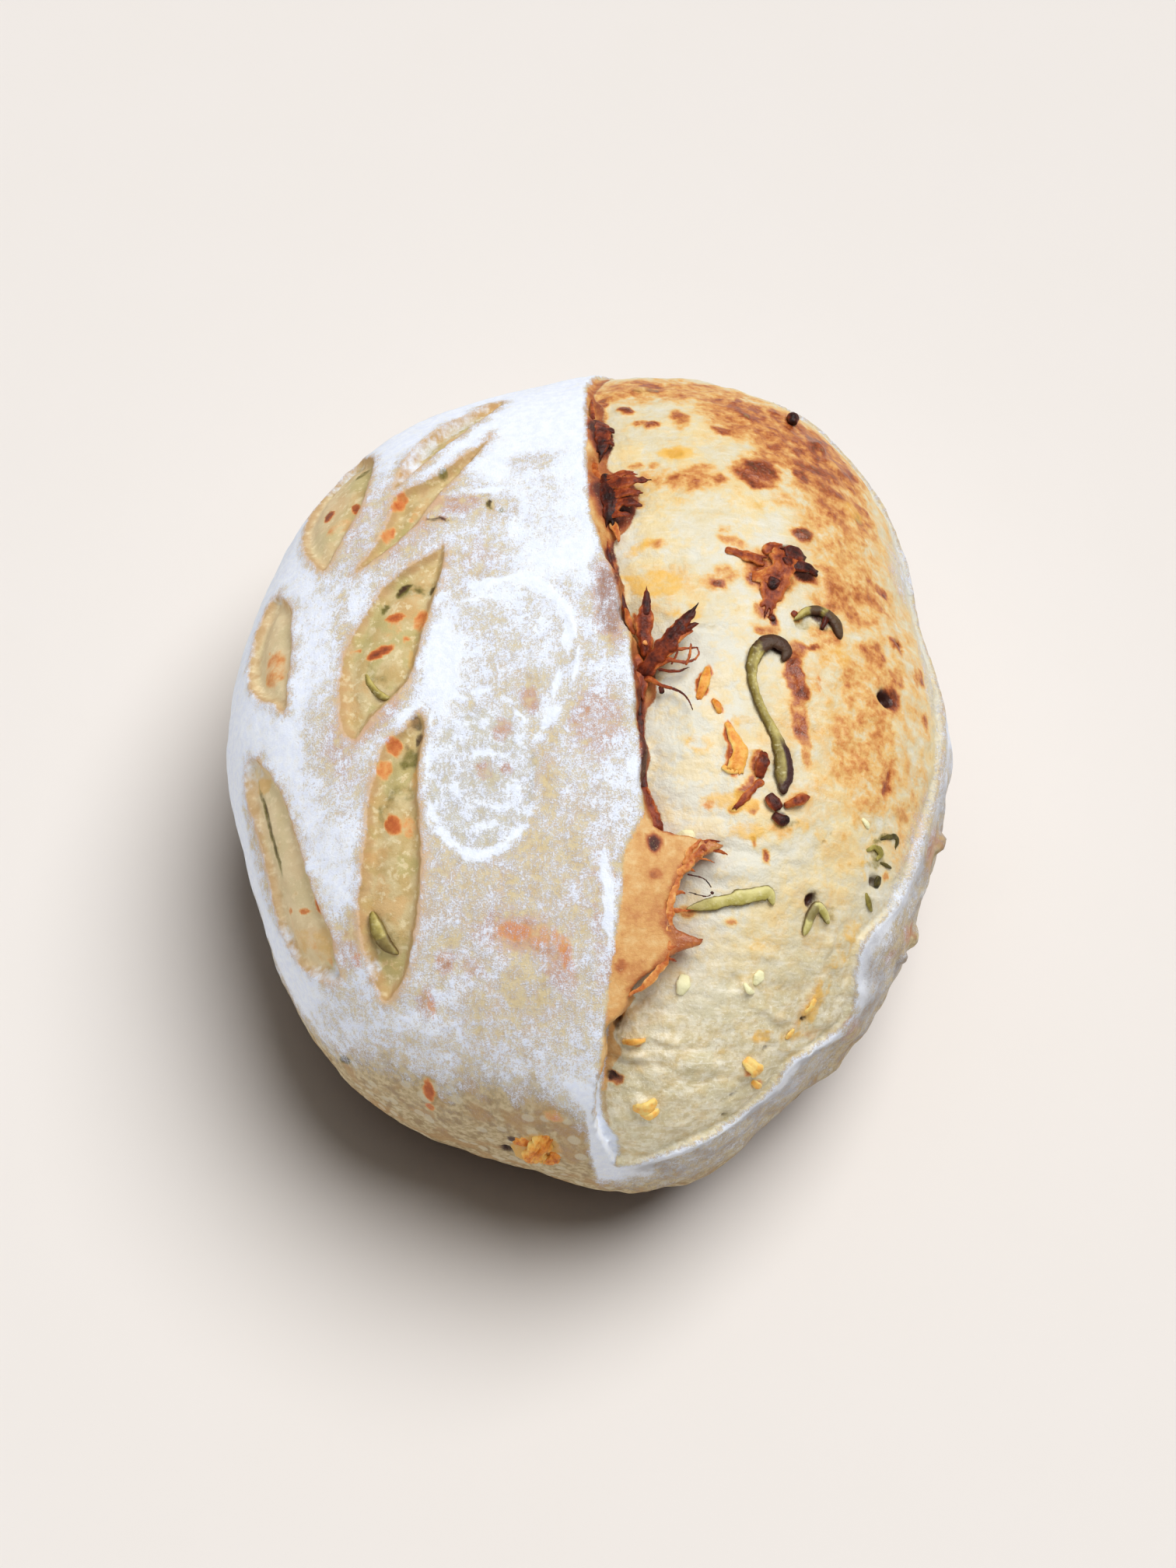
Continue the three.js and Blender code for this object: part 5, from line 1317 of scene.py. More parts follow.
def smooth_path(path, step):
    """Points at even spacing on a smooth curve through the path's points."""
    path = np.array(path, float)
    padded = np.concatenate(([2 * path[0] - path[1]], path, [2 * path[-1] - path[-2]]))
    t = np.linspace(0, 1, 24, endpoint=False)[:, None]
    dense = [spline(*padded[i : i + 4], t) for i in range(len(path) - 1)]
    dense = np.concatenate(dense + [path[-1:]])
    lengths = np.concatenate(([0], np.cumsum(np.linalg.norm(np.diff(dense, axis=0), axis=1))))
    count = max(int(round(lengths[-1] / step)), 4)
    at = np.linspace(0, lengths[-1], count + 1)
    return np.stack([np.interp(at, lengths, dense[:, k]) for k in range(3)], 1)


def path_frame(centres):
    """Unit vectors along, across and up at each point of a path."""
    forward = np.gradient(centres, axis=0)
    forward /= np.linalg.norm(forward, axis=1, keepdims=True)
    side = np.stack([-forward[:, 1], forward[:, 0], np.zeros(len(centres))], 1)
    side /= np.linalg.norm(side, axis=1, keepdims=True)
    return forward, side, np.cross(forward, side)


STRIP_STEP = 0.5  # mm between the rings of points along a strip
STRIP_SIDES = 16  # points in a ring
STRIP_JAG = 0.16  # how uneven a strip's edges are, as a share of its width
STRIP_TIP = 0.15  # width of a strip's ends, as a share of its width


def strip_mesh(path, width, thickness, seed, profile):
    """A closed strip along a path, with (share along it, across, up) at its points."""
    centres = smooth_path(path, STRIP_STEP)
    count = len(centres)
    _, side, up = path_frame(centres)
    along = np.linspace(0, 1, count)
    run = along * count * STRIP_STEP
    taper = STRIP_TIP + (1 - STRIP_TIP) * np.sqrt(np.clip(1 - np.abs(2 * along - 1) ** 5, 0, 1))
    shares = np.interp(along, np.linspace(0, 1, len(profile)), profile)
    points, values = [], []
    for j in range(STRIP_SIDES):
        angle = 2 * math.pi * j / STRIP_SIDES
        c, s = math.cos(angle), math.sin(angle)
        rough = 1 + STRIP_JAG * noise_along(run / 1.6 + 31.7 * (c > 0), 0.37 + seed, 91 + seed)
        rough = rough + STRIP_JAG * 0.6 * noise_along(run / 0.7 + 11 * j, 0.7 + seed, 92)
        across = c * width / 2 * taper * np.maximum(rough, 0.1) * shares
        uneven = 1 + 0.3 * STRIP_JAG * noise_along(run / 1.4, j + 0.5, 93 + seed)
        rise = s * thickness / 2 * taper * uneven
        at = centres + side * across[:, None] + up * rise[:, None]
        points.append(skin_point(*at.T))
        values.append(np.stack([along, np.full(count, c), np.full(count, s)], 1))
    points, values = np.stack(points, 1), np.stack(values, 1)
    ends = [points[0].mean(0), points[-1].mean(0)]
    faces = []
    for i in range(count - 1):
        for j in range(STRIP_SIDES):
            a, b = i * STRIP_SIDES + j, i * STRIP_SIDES + (j + 1) % STRIP_SIDES
            faces += [(a, b, b + STRIP_SIDES), (a, b + STRIP_SIDES, a + STRIP_SIDES)]
    first, last = count * STRIP_SIDES, (count - 1) * STRIP_SIDES
    for j in range(STRIP_SIDES):
        after = (j + 1) % STRIP_SIDES
        faces += [(first, after, j), (first + 1, last + j, last + after)]
    flat_points = np.concatenate([points.reshape(-1, 3), ends])
    flat_values = np.concatenate([values.reshape(-1, 3), [[0, 0, 0], [1, 0, 0]]])
    return flat_points, np.array(faces), flat_values


def joined(name, parts):
    """One object from several (points, faces, values)."""
    points, faces, values = zip(*parts)
    starts = np.cumsum([0] + [len(p) for p in points[:-1]])
    obj = new_mesh(name, np.concatenate(points), np.concatenate([f + at for f, at in zip(faces, starts)]))
    add_values(obj, "place", np.concatenate(values))
    return obj


# The strips of pepper: path in (u, v, height above the surface), width, thickness, shares of the
# width along the strip, and charred stretches in (from, to, strength).
PEPPER_STRIPS = {
    "pepper_long": (
        [(46, 0.2, 0.5), (46.9, 3, 1.1), (44, 4.9, 1.5), (40.6, 3.2, 1.3), (38.5, -2, 0.7),
         (38.9, -8, 0.5), (41, -14, 0.5), (44, -20, 0.5), (45.6, -26, 0.5), (45.2, -33.6, 0.6)],
        4, 1.9, (0.8, 1, 1, 0.85, 0.6, 0.56, 0.56, 0.6, 0.8, 1.15, 1.3, 1.0),
        [(-0.05, 0.23, 0.95), (0.95, 1.05, 1.0)],
    ),
    "pepper_curl": (
        [(49.6, 12.6, 0), (53, 15.6, 0.5), (56.8, 16.2, 0.7), (60, 13.8, 0.7), (61.6, 9.8, 0)],
        2.5, 1.8, (0.6, 0.9, 1.1, 1.2, 0.9), [(0.3, 0.46, 0.9), (0.54, 1.05, 0.9)],
    ),
    "pepper_flat": (
        [(23.4, -61.8, 0.4), (28, -60.6, 0.7), (33, -59.2, 0.6), (38, -57.8, 0.7), (42, -57, 0.7),
         (43.6, -59.6, 0.2)],
        3.2, 1.3, (0.5, 0.8, 1.1, 0.8, 1.3, 1.0, 1.2, 0.6), [],
    ),
    "pepper_fold": (
        [(52.2, -66, 0.2), (53.4, -60.6, 0.8), (55.4, -59, 0.8), (59, -62.6, 0.2)],
        2.6, 1.8, (0.8, 1.0, 1.0, 0.7), [(0.3, 0.55, 0.6)],
    ),
    "pepper_leaf": (
        [(-54.6, 0.8, -1.4), (-53, -3.4, -1.1), (-49.6, -7.2, -1.1), (-45.4, -8.8, -1.4)],
        2.4, 2, (0.6, 0.8, 0.8, 0.5), [(0.8, 1.05, 0.4)],
    ),
    "pepper_low": (
        [(-53, -60.4, -1.6), (-51.4, -64.6, -1.2), (-49.4, -68.6, -1.2), (-46.4, -71.4, -1.6)],
        3.6, 2.2, (0.6, 1.0, 1.0, 0.5), [(0.55, 1.05, 0.5)],
    ),
}


def pepper_material(name, stretches, pale):
    n = Nodes(name + "_skin")
    along, across, _ = n.three_values("place")
    coords = n.object_place()
    grain = n.noise(coords, 900, 4, 0.6)
    blotch = n.noise(coords, 300, 3)
    light = (220, 210, 140) if pale else (196, 180, 104)
    deep = (178, 166, 84) if pale else (122, 104, 36)
    # painted shade and highlight over the pepper's own green: each strip darkens towards one side and at
    # both side edges, and is lighter towards the other side
    colour = n.tinted(
        n.blend(n.plus(across, n.mixed((blotch, 3.0))), -0.9, 0.9, deep, light),
        (grain, 0.5, 0.75, 0.6, (226, 216, 166)),
        (n.math("ABSOLUTE", across, 0.0), 0.7, 0.98, 0.85, (92, 72, 28)),
    )
    for start, end, strength in stretches:
        wobble = n.plus(along, n.mixed((blotch, 0.2)))
        inside = n.times(
            n.span(wobble, start - 0.03, start + 0.03),
            n.span(wobble, end + 0.03, end - 0.03),
        )
        charred = n.mix(grain, linear(84, 44, 30), linear(38, 20, 16))
        colour = n.mix(n.times(inside, strength), colour, charred)
    if name == "pepper_long":
        purple = n.times(n.span(along, 0.68, 0.78), n.span(across, -0.1, 0.3))
        colour = n.mix(n.times(purple, n.span(along, 1.0, 0.94)), colour, linear(66, 38, 36))
    return n.finish(colour, 0.45, n.bump(grain, FINE_BUMP, 0.6), Specular_IOR_Level=0.3)


PALE_STRIPS = ("pepper_flat", "pepper_fold")


def make_strips():
    strips = []
    for name, (path, width, thickness, profile, stretches) in PEPPER_STRIPS.items():
        path = np.array(path, float)
        path[:, 2] += surface_height(path[:, 0], path[:, 1])
        seed = len(name) + int(width * 10)
        strip = joined(name + "_strip", [strip_mesh(path, width, thickness, seed, profile)])
        strip.data.materials.append(pepper_material(name, stretches, name in PALE_STRIPS))
        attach(strip, "root")
        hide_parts(name)
        strips.append(strip)
    return strips


# Strands that lie on the bread: path in (u, v, height above the surface), width at the start,
# middle and end, thickness, fraying, and tone, which goes from 0, darkest, to 1, palest.
CRAGS = [
    # the first crag beside the middle of the ear: a cone with a glossy tip
    ([(13.8, 0, 2.6), (13.2, 5, 4.4), (13.4, 10, 5.6), (13.6, 15.4, 5.4)], (3.0, 4.6, 1.0), 1.8, 0.5, 0.34),
    ([(13.6, 9, 6.0), (13.6, 12, 6.2), (13.7, 15, 5.8)], (1.6, 2.2, 0.9), 1.2, 0.4, 0.1),
    ([(9.0, 12.4, 3.4), (9.6, 9, 4.0), (11, 5, 4)], (0.9, 1.8, 1.4), 1.1, 0.4, 0.55),
    ([(11.4, 8.4, 4.0), (12.4, 5, 4.4), (13.6, 1.4, 4.2)], (0.8, 1.8, 1.2), 0.8, 0.3, 0.8),
    # the second: a bar with a two-pronged end
    ([(13, -4.6, 2.6), (16.6, -0.6, 4.6), (20.6, 4.0, 6.0), (24.5, 9.6, 6.4)],
     (4.0, 4.6, 1.8), 1.9, 0.6, 0.2),
    ([(20, 3.4, 5.6), (22.8, 4.8, 6), (25.4, 6.0, 5.6)], (3.2, 2.4, 0.9), 1.3, 0.6, 0.26),
    ([(14, -1.6, 3.8), (17.6, 2.4, 5.2), (21.6, 7.4, 6.0)], (1.2, 1.8, 1.0), 1.2, 0.5, 0.62),
    ([(17.4, -1.6, 4.2), (21, 2.0, 5.4), (24, 4.2, 5.4)], (1.0, 1.6, 1.0), 1.0, 0.5, 0.58),
    # lacy shreds and a hair below the second crag
    ([(15.4, -3.6, 3.4), (19, -2.6, 4.0), (22.4, -3.2, 3.8), (25.2, -2.0, 3.4)],
     (1.8, 1.2, 0.8), 0.8, 0.8, 0.45),
    ([(18, -1.2, 4.2), (21, -0.2, 4.4), (25.4, 0.6, 4.0)], (1.4, 1.0, 0.7), 0.8, 0.9, 0.5),
    ([(19.4, -3.4, 3.8), (20.4, -1.4, 4.2), (20.8, 1.4, 4.6)], (0.8, 0.8, 0.8), 0.7, 0.6, 0.38),
    ([(22.6, -3.6, 3.6), (23.4, -1.4, 4.0), (23.8, 1.6, 4.4)], (0.8, 0.8, 0.7), 0.7, 0.6, 0.55),
    ([(16.6, -4.4, 3.2), (20.6, -5.0, 3.2), (23.6, -4.0, 3.0)], (1.0, 0.9, 0.6), 0.7, 0.7, 0.3),
    ([(24.6, -2.4, 3.4), (25.6, -0.8, 3.6), (25, 1.2, 3.8)], (0.7, 0.7, 0.6), 0.6, 0.5, 0.45),
    ([(13.6, -5.6, 2.6), (15.2, -6.8, 2.8), (17.3, -8.4, 2.8), (20, -9.3, 2.6)],
     (2.2, 1.1, 0.9), 1.0, 0.4, 0.42),
    ([(17.0, -8.6, 2.5), (17.4, -10.2, 2.0)], (1.4, 1.5, 1.4), 1.3, 0.2, 0.1),
    ([(19.6, -9.2, 2.6), (21.8, -10.4, 2.5), (23.4, -12.4, 2.2), (24.4, -14.9, 1.4)],
     (0.9, 0.6, 0.4), 0.6, 0.1, 0.12),
    ([(11.2, 0, 2.8), (12.6, -5.6, 2.6), (12.4, -11, 2.2)], (2.4, 4.2, 2.0), 1.5, 0.4, 0.44),
    # the dark lip of the ear
    ([(3.4, 36, 1.4), (4.6, 30, 1.6), (5.6, 25, 1.6)], (1.0, 1.7, 1.7), 1.4, 0.4, 0.24),
    ([(5.4, 26, 1.6), (7.2, 19, 1.7), (9.2, 12, 1.8), (10, 5, 1.9)], (1.8, 1.8, 1.6), 1.4, 0.4, 0.2),
    ([(10.2, 4, 1.9), (11, -2, 2), (11.8, -9, 2), (12.2, -15, 1.9)], (1.6, 2, 1.9), 1.5, 0.4, 0.22),
    ([(12.1, -14, 1.9), (12.5, -21, 1.8), (12.8, -28, 1.8), (13.4, -35, 1.7)],
     (1.9, 1.9, 2.4), 1.5, 0.4, 0.2),
    ([(13.2, -33, 1.7), (14.4, -38, 1.7), (16.2, -42, 1.6), (17.4, -45.4, 1.2)],
     (2.4, 4.0, 2.4), 1.7, 0.6, 0.36),
    ([(13.6, -40, 1.6), (14.6, -45, 1.8), (14.8, -49.8, 1.8)], (2.0, 2.6, 2.6), 1.7, 0.4, 0.3),
    ([(14.6, -46.6, 2.4), (14.9, -49.4, 2.4)], (2.2, 2.6, 1.8), 1.2, 0.2, 0.04),
    # the crag at the upper part of the ear
    ([(0.8, 60, 1.0), (2.2, 54, 1.6), (2.8, 47, 1.8), (2.6, 40, 1.4)], (1.6, 2.8, 1.8), 1.4, 0.8, 0.52),
    ([(4.2, 53, 2.0), (5.2, 47, 3), (5.6, 41, 3), (5.4, 37, 2)], (3, 5.0, 3), 2.0, 0.7, 0.08),
    ([(5, 48.6, 2.8), (9, 48.4, 3.8), (15, 48.2, 3.4)], (4.4, 3.6, 1.8), 1.5, 1.0, 0.3),
    ([(5.4, 45.4, 3), (9, 45.2, 3.8), (13.6, 44.6, 3.4)], (4, 2.8, 1.2), 1.3, 1.0, 0.36),
    ([(5, 42, 2.6), (9, 42.2, 3.2), (13.2, 41.2, 2.6)], (4.2, 3, 1.2), 1.2, 1.0, 0.26),
    ([(4, 39.6, 2), (7.4, 39.2, 2.8), (11, 38.6, 2.2)], (3.2, 2.2, 0.9), 1.1, 1.0, 0.34),
    ([(4, 51.4, 2), (8, 51.6, 3), (12.6, 51.0, 2.8)], (3.0, 2.4, 1.0), 1.2, 1.0, 0.42),
    ([(5.8, 38, 1.4), (7, 35, 1.6), (7.6, 32, 1.2)], (2.2, 1.8, 1.0), 1.1, 0.5, 0.7),
    ([(1.4, 77, 0.6), (3.2, 72, 1.6), (3.8, 66, 1.8), (2.8, 60.6, 1.2)], (2.2, 5.0, 2.6), 1.5, 0.6, 0.24),
    ([(3.4, 70.6, 1.4), (5.4, 69.8, 1.8), (7.6, 69, 1.2)], (2.4, 2.2, 0.8), 1.1, 1.0, 0.2),
    ([(3.2, 65.4, 1.4), (5.4, 64.6, 1.6), (7.2, 63.4, 1.0)], (2.4, 2, 0.8), 1.0, 1.0, 0.26),
    ([(0.8, 90, 0.8), (1.0, 84, 1), (1.2, 78, 1)], (0.8, 1.3, 1.4), 0.9, 0.5, 0.4),
    # burnt ends of the long strip, and the shreds left of it
    ([(41.8, -34.4, 0.8), (43, -36, 1.2), (44.2, -37.4, 0.8)], (3.0, 4.0, 2.6), 1.8, 0.3, 0.2),
    ([(43, -38.8, 0.5), (44.8, -39.8, 0.8), (46.6, -39.2, 0.5)], (2.2, 3, 1.8), 1.8, 0.2, 0.03),
    ([(45.8, -36.2, 0.5), (48.4, -35, 0.7), (51.4, -33.4, 0.2)], (1.8, 2.8, 1.6), 1.3, 0.4, 0.46),
    ([(39.8, -29.6, 0.2), (40.2, -26.6, 0.6), (40.6, -23.6, 0.2)], (2.2, 3.2, 1.8), 1.3, 0.5, 0.3),
    ([(40.4, -30.6, 0.1), (37.4, -33.8, 0.3), (33.8, -38, 0.1)], (2.0, 2.2, 1.4), 0.9, 0.7, 0.44),
    ([(57.8, 15.4, 0.8), (57.2, 13.2, 0.6), (56.6, 11.4, 0.2)], (1.6, 1.6, 1.0), 1.2, 0.3, 0.08),
    # the dark cross-shaped blotch
    ([(33.4, 30.2, 0.1), (37, 29, 0.4), (42, 27, 0.5)], (2.0, 3.0, 3.0), 1.0, 0.5, 0.44),
    ([(42.6, 30.6, 0.3), (44.4, 31.8, 0.6), (46, 31, 0.5)], (2.4, 4.4, 3.4), 1.2, 0.4, 0.5),
    ([(47, 30, 0.6), (50, 30.6, 0.8), (52.6, 31.4, 0.4)], (3.4, 4.4, 2.4), 1.4, 0.5, 0.14),
    ([(48.6, 27, 0.5), (52, 27.4, 0.8), (56, 27.2, 0.3)], (3.2, 3.2, 1.8), 1.2, 0.5, 0.14),
    ([(47.4, 30, 0.3), (46, 25, 0.5), (44.4, 20, 0.3), (42.4, 13, 0)], (7, 6.6, 2.6), 1.2, 0.7, 0.42),
    ([(44.2, 22, 1.0), (43.5, 19.6, 1.0)], (3.0, 3.0, 2.0), 1.1, 0.3, 0.1),
    ([(46.6, 27, 1.2), (49, 28.6, 1.2)], (2.6, 3.0, 2.4), 1.1, 0.4, 0.2),
    ([(39.6, 23, 0), (42.6, 23, 0.2), (45.4, 24.6, 0.3)], (3, 5, 4), 0.9, 0.5, 0.5),
    ([(43.8, 12.8, 0.2), (44.4, 11.4, 0.4)], (1.8, 1.8, 1.4), 0.9, 0.3, 0.22),
    ([(49.2, 14.6, 0.2), (50.4, 13.8, 0.4)], (1.6, 1.8, 1.2), 0.9, 0.3, 0.26),
    # a burnt seed at the far edge
    ([(55.8, 88.4, 0.2), (55.6, 86.2, 1.3), (55.4, 84, 0.5)], (2.4, 3.4, 2.6), 2.8, 0.2, 0.02),
]
CREST = [  # the ragged crest of the torn web, with heights above the crust
    ([(9.6, -82, -1.2), (13, -79.4, -0.7), (16.2, -75.4, -0.5), (17.6, -71.6, -0.4), (18, -66.6, -0.5)],
     (1.09, 2.03, 1.72), 1.08, 0.9, 0.68),
    ([(18, -67.6, -0.5), (18, -62.6, -0.5), (18.8, -58, -0.4), (20.6, -54, -0.3)],
     (1.72, 2.03, 1.87), 1.17, 1.0, 0.68),
    ([(20, -55, -0.4), (22.4, -51.6, -0.3), (25, -49, -0.3), (27.6, -47, -0.6)],
     (1.87, 2.65, 1.56), 1.26, 1.1, 0.66),
    ([(21, -52.4, 0.1), (22.6, -49, 0.1), (25, -46.6, -0.2)], (1.09, 1.87, 1.25), 1.08, 0.9, 0.7),
    ([(25.6, -48.6, -0.2), (28.8, -48.6, -1), (32, -49.2, -2.4), (34.4, -50.2, -3.6)],
     (1.4, 0.94, 0.39), 0.81, 0.9, 0.48),
    ([(26, -47, -0.2), (28.4, -46.4, -0.9), (30.6, -46.4, -1.8)], (1.25, 0.94, 0.39), 0.81, 0.8, 0.36),
    ([(24, -50.8, -0.4), (27, -51, -1.2), (29.6, -51.6, -2.6)], (0.94, 0.62, 0.31), 0.72, 0.8, 0.6),
    ([(21.6, -53.4, -0.4), (23, -53.4, -0.9), (24.2, -54, -1.6)], (1.25, 0.78, 0.31), 0.72, 0.8, 0.62),
    ([(19.2, -59, -0.4), (20.8, -58.8, -0.9), (22.2, -59.4, -1.6)], (1.4, 0.94, 0.31), 0.72, 0.8, 0.52),
    ([(19, -63, -0.4), (21.6, -62.8, -0.9), (23.8, -62.4, -1.8)], (1.25, 0.78, 0.31), 0.72, 0.8, 0.6),
    ([(17.6, -71.4, -0.4), (20.6, -70.4, -0.6), (23.6, -69.6, -1.2), (26.4, -68.6, -2)],
     (2.34, 1.72, 0.47), 0.99, 0.9, 0.5),
    ([(17.4, -73.6, -0.6), (19.2, -74, -1.4), (20.4, -75, -2.2)], (1.25, 0.78, 0.31), 0.72, 0.8, 0.52),
    ([(22, -54.6, -0.8), (26, -55.2, -1.8), (28.6, -57.8, -3)], (0.6, 0.45, 0.45), 0.5, 0, 0.08),
    ([(28.6, -57.8, -3), (26.8, -59, -3.2), (22, -58.4, -1.6)], (0.45, 0.45, 0.45), 0.5, 0, 0.08),
    ([(28, -58, -3), (28.6, -58.4, -3.2)], (0.9, 0.9, 0.9), 0.8, 0, 0.05),
]
CHEESE = [
    ([(28.2, -2.8, -0.1), (27.4, -6.4, 0.2), (25.8, -11, -0.1)], (1.6, 2.8, 1.6), 1.1, 0.25, 0.66),
    ([(29.4, -11, -0.1), (30.2, -12.8, 0.2), (30.8, -14.8, -0.1)], (1.2, 2, 1.2), 0.9, 0.2, 0.62),
    ([(32.4, -17, 0), (34, -21, 0.2), (35.2, -24.4, 0.3), (33.8, -29, 0.1)],
     (1.4, 3.4, 4.4), 1.2, 0.3, 0.7),
    ([(31.4, -27.8, 0), (33, -28.8, 0.3), (35, -29, 0.1)], (1.4, 1.8, 1.2), 0.9, 0.2, 0.84),
    ([(17.4, -110.8, 0.1), (14.8, -111.8, 0.5), (11.6, -113, 0.1)], (2.4, 4.0, 2.2), 1.5, 0.25, 0.9),
    ([(18.2, -113.4, 0.1), (15.8, -114, 0.4), (13.6, -114.6, 0.1)], (1.8, 2.8, 1.6), 1.3, 0.25, 0.86),
    ([(41, -99, 0.1), (43, -101, 0.5), (45, -103.4, 0.1)], (3, 4.6, 2.6), 1.5, 0.35, 0.86),
    ([(44.6, -106, 0), (46.2, -107.2, 0.3), (47.8, -108.2, 0)], (1.6, 2.4, 1.4), 1.1, 0.25, 0.86),
    ([(8.4, -95.2, 0.1), (11.4, -94.6, 0.4), (14.4, -94, 0.1)], (1.4, 2.0, 1.2), 1.0, 0.4, 0.72),
    ([(58.4, -82, 0), (57.4, -84.6, 0.3), (56.4, -87, 0)], (1.4, 2.2, 1.2), 0.9, 0.4, 0.88),
    ([(54.4, -90.8, 0), (53.6, -92.4, 0.3), (52.8, -93.8, 0)], (1.2, 2.2, 1.2), 0.9, 0.3, 0.9),
    ([(-43.4, -105, 0), (-43.8, -108.8, 0.3), (-45, -113, 0)], (2.2, 3.4, 2.6), 1.1, 0.3, 0.6),
    ([(-10, -121, 0.4), (-12.6, -126, 2), (-16, -131, 2.2), (-18, -137, 0.4)], (4, 7.4, 5), 3.4, 0.8, 0.66),
    ([(-14, -123, 0.2), (-18.6, -127, 1.6), (-22.6, -131.6, 0.4)], (3, 5.0, 3), 2.6, 0.8, 0.56),
    ([(-8.6, -128, 0), (-10, -133, 1), (-13, -138, 0.2)], (3, 4.6, 3), 2.2, 0.8, 0.62),
]
PEPPER_BITS = [  # scraps of pepper skin
    ([(73.4, -39.6, -0.1), (76, -38.4, 0.2), (79, -38.2, 0.2), (79.6, -40.6, 0)],
     (0.8, 1.7, 1.3), 0.8, 0.8, 0.22),
    ([(69, -43.4, 0.1), (71.4, -42, 0.5), (73.6, -43.4, 0.3), (72, -45.4, 0)],
     (1.0, 2.0, 1.0), 0.7, 0.7, 0.66),
    ([(74, -45.4, 0), (78, -46.2, 0.3)], (0.8, 1.2, 0.8), 0.7, 0.5, 0.3),
    ([(73.8, -49.2, 0.1), (73.2, -52, 0.1)], (1.6, 2.4, 1.6), 0.9, 0.4, 0.1),
    ([(70, -54, 0), (71.6, -57, 0.3), (72.8, -58.2, 0)], (1, 1.8, 1), 0.8, 0.5, 0.5),
    ([(-23.2, 47.4, 0.1), (-24.4, 44.6, 0.5), (-22.2, 42.4, 0.1)], (0.8, 1.8, 1.2), 0.8, 0.6, 0.2),
    ([(-47.8, 21, -0.5), (-45.6, 22.4, -0.2), (-43.4, 22.8, -0.5)], (1.4, 2.2, 1.2), 0.7, 0.8, 0.26),
    ([(-38.4, 21.6, -0.4), (-38, 19.4, -0.4)], (1, 1.4, 1), 0.7, 0.4, 0.15),
    ([(-50.4, 16.6, -0.4), (-48.6, 18.2, -0.4)], (1, 1.4, 1), 0.7, 0.4, 0.25),
    ([(-40.2, -16.4, -0.6), (-39.6, -19.6, -0.2), (-40, -22, -0.6)], (1.4, 2.4, 1.4), 0.8, 0.4, 0.2),
    ([(-75, 72.6, -0.5), (-70, 76.4, 0), (-63, 78.6, -0.4)], (1.2, 2.0, 1.2), 0.9, 0.4, 0.4),
]
SEEDS = [
    ([(22.4, -82, 0.1), (22.9, -79.8, 0.5), (23.4, -77.4, 0.1)], (2.2, 3.8, 2.4), 1.2, 0.05, 1.0),
    ([(40.6, -78.6, 0), (41.2, -77, 0.4), (41.8, -75.2, 0)], (1.6, 3, 1.6), 1.1, 0.05, 1.0),
    ([(20.8, -44.8, 0.2), (22.8, -44.6, 0.7), (25, -44.2, 0.2)], (2, 3.4, 2.2), 1.2, 0.05, 1.0),
    ([(40.4, -80.8, 0), (38.6, -80.2, 0.5), (37.4, -78.4, 0.1)], (1, 1.8, 1), 1.0, 0.05, 1.0),
    ([(66.8, -36, 0), (68, -37, 0.3), (69, -38, 0)], (1, 1.6, 1), 0.8, 0.05, 1.0),
]


STRAND_STEP = 0.5  # mm between the points of a strand's path


def strand_field(at, path, widths, thickness, fray, seed):
    """Distance-like field of one frayed strand, the share along it, and how near its side edge."""
    centres = smooth_path(path, STRAND_STEP)
    nearest = nearest_target(at, centres)
    away = at - centres[nearest]
    forward, across, rise = ((away * axis[nearest]).sum(1) for axis in path_frame(centres))
    length = STRAND_STEP * (len(centres) - 1)
    along = nearest * STRAND_STEP + forward
    share = np.clip(along / length, 0, 1)
    half = np.interp(share, [0, 0.5, 1], widths) / 2
    half = half * (1 + 0.55 * fray * noise(along / 1.5 + 9, np.sign(across) * 2.5 + seed, seed + 1))
    fibre = noise(across / 0.55 + seed, along / 5, seed + 2)
    ragged = noise(across / 0.6 + 5, along / 1.6 + seed, seed + 3)
    thinning = 1 - 0.45 * share * min(fray, 1)
    thin = thickness / 2 * thinning * (1 + (0.35 * fibre + 0.25 * ragged) * min(2 * fray, 1))
    end = along - length * (1 + 0.22 * fray * noise_along(across / 0.5 + 3, seed + 0.5, seed + 4))
    body = smooth_max(np.abs(across) - half, np.abs(rise) - thin, thickness * 0.7)
    field = smooth_max(body, np.maximum(-along - 0.4, end), 0.6)
    return field, share, np.clip(np.abs(across) / half, 0, 1)


def ragged_piece(name, groups, voxel, material):
    """One object of frayed strands, each meshed on a fine grid in skin coordinates."""
    parts = []
    strands = [(base, strand) for base, group in groups for strand in group]
    for seed, (base, (path, widths, thickness, fray, tone)) in enumerate(strands):
        path = np.array(path, float)
        path[:, 2] += sample(base, path[:, 0], path[:, 1])
        margin = max(widths) / 2 + thickness / 2 + 1.2
        low, high = path.min(0) - margin, path.max(0) + margin
        axes = [np.arange(low[k], high[k], voxel) for k in range(3)]
        grid = np.stack(np.meshgrid(*axes, indexing="ij"), -1)
        field = strand_field(grid.reshape(-1, 3), path, widths, thickness, fray, seed)[0]
        points, quads = meshed(field.reshape(grid.shape[:3]), voxel, low)
        _, share, edge = strand_field(points, path, widths, thickness, fray, seed)
        values = np.stack([np.full(len(points), tone), share, edge], 1)
        parts.append((skin_point(*points.T), quads, values))
    piece = joined(name, parts)
    piece.data.materials.append(material)
    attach(piece, "root")
    return piece


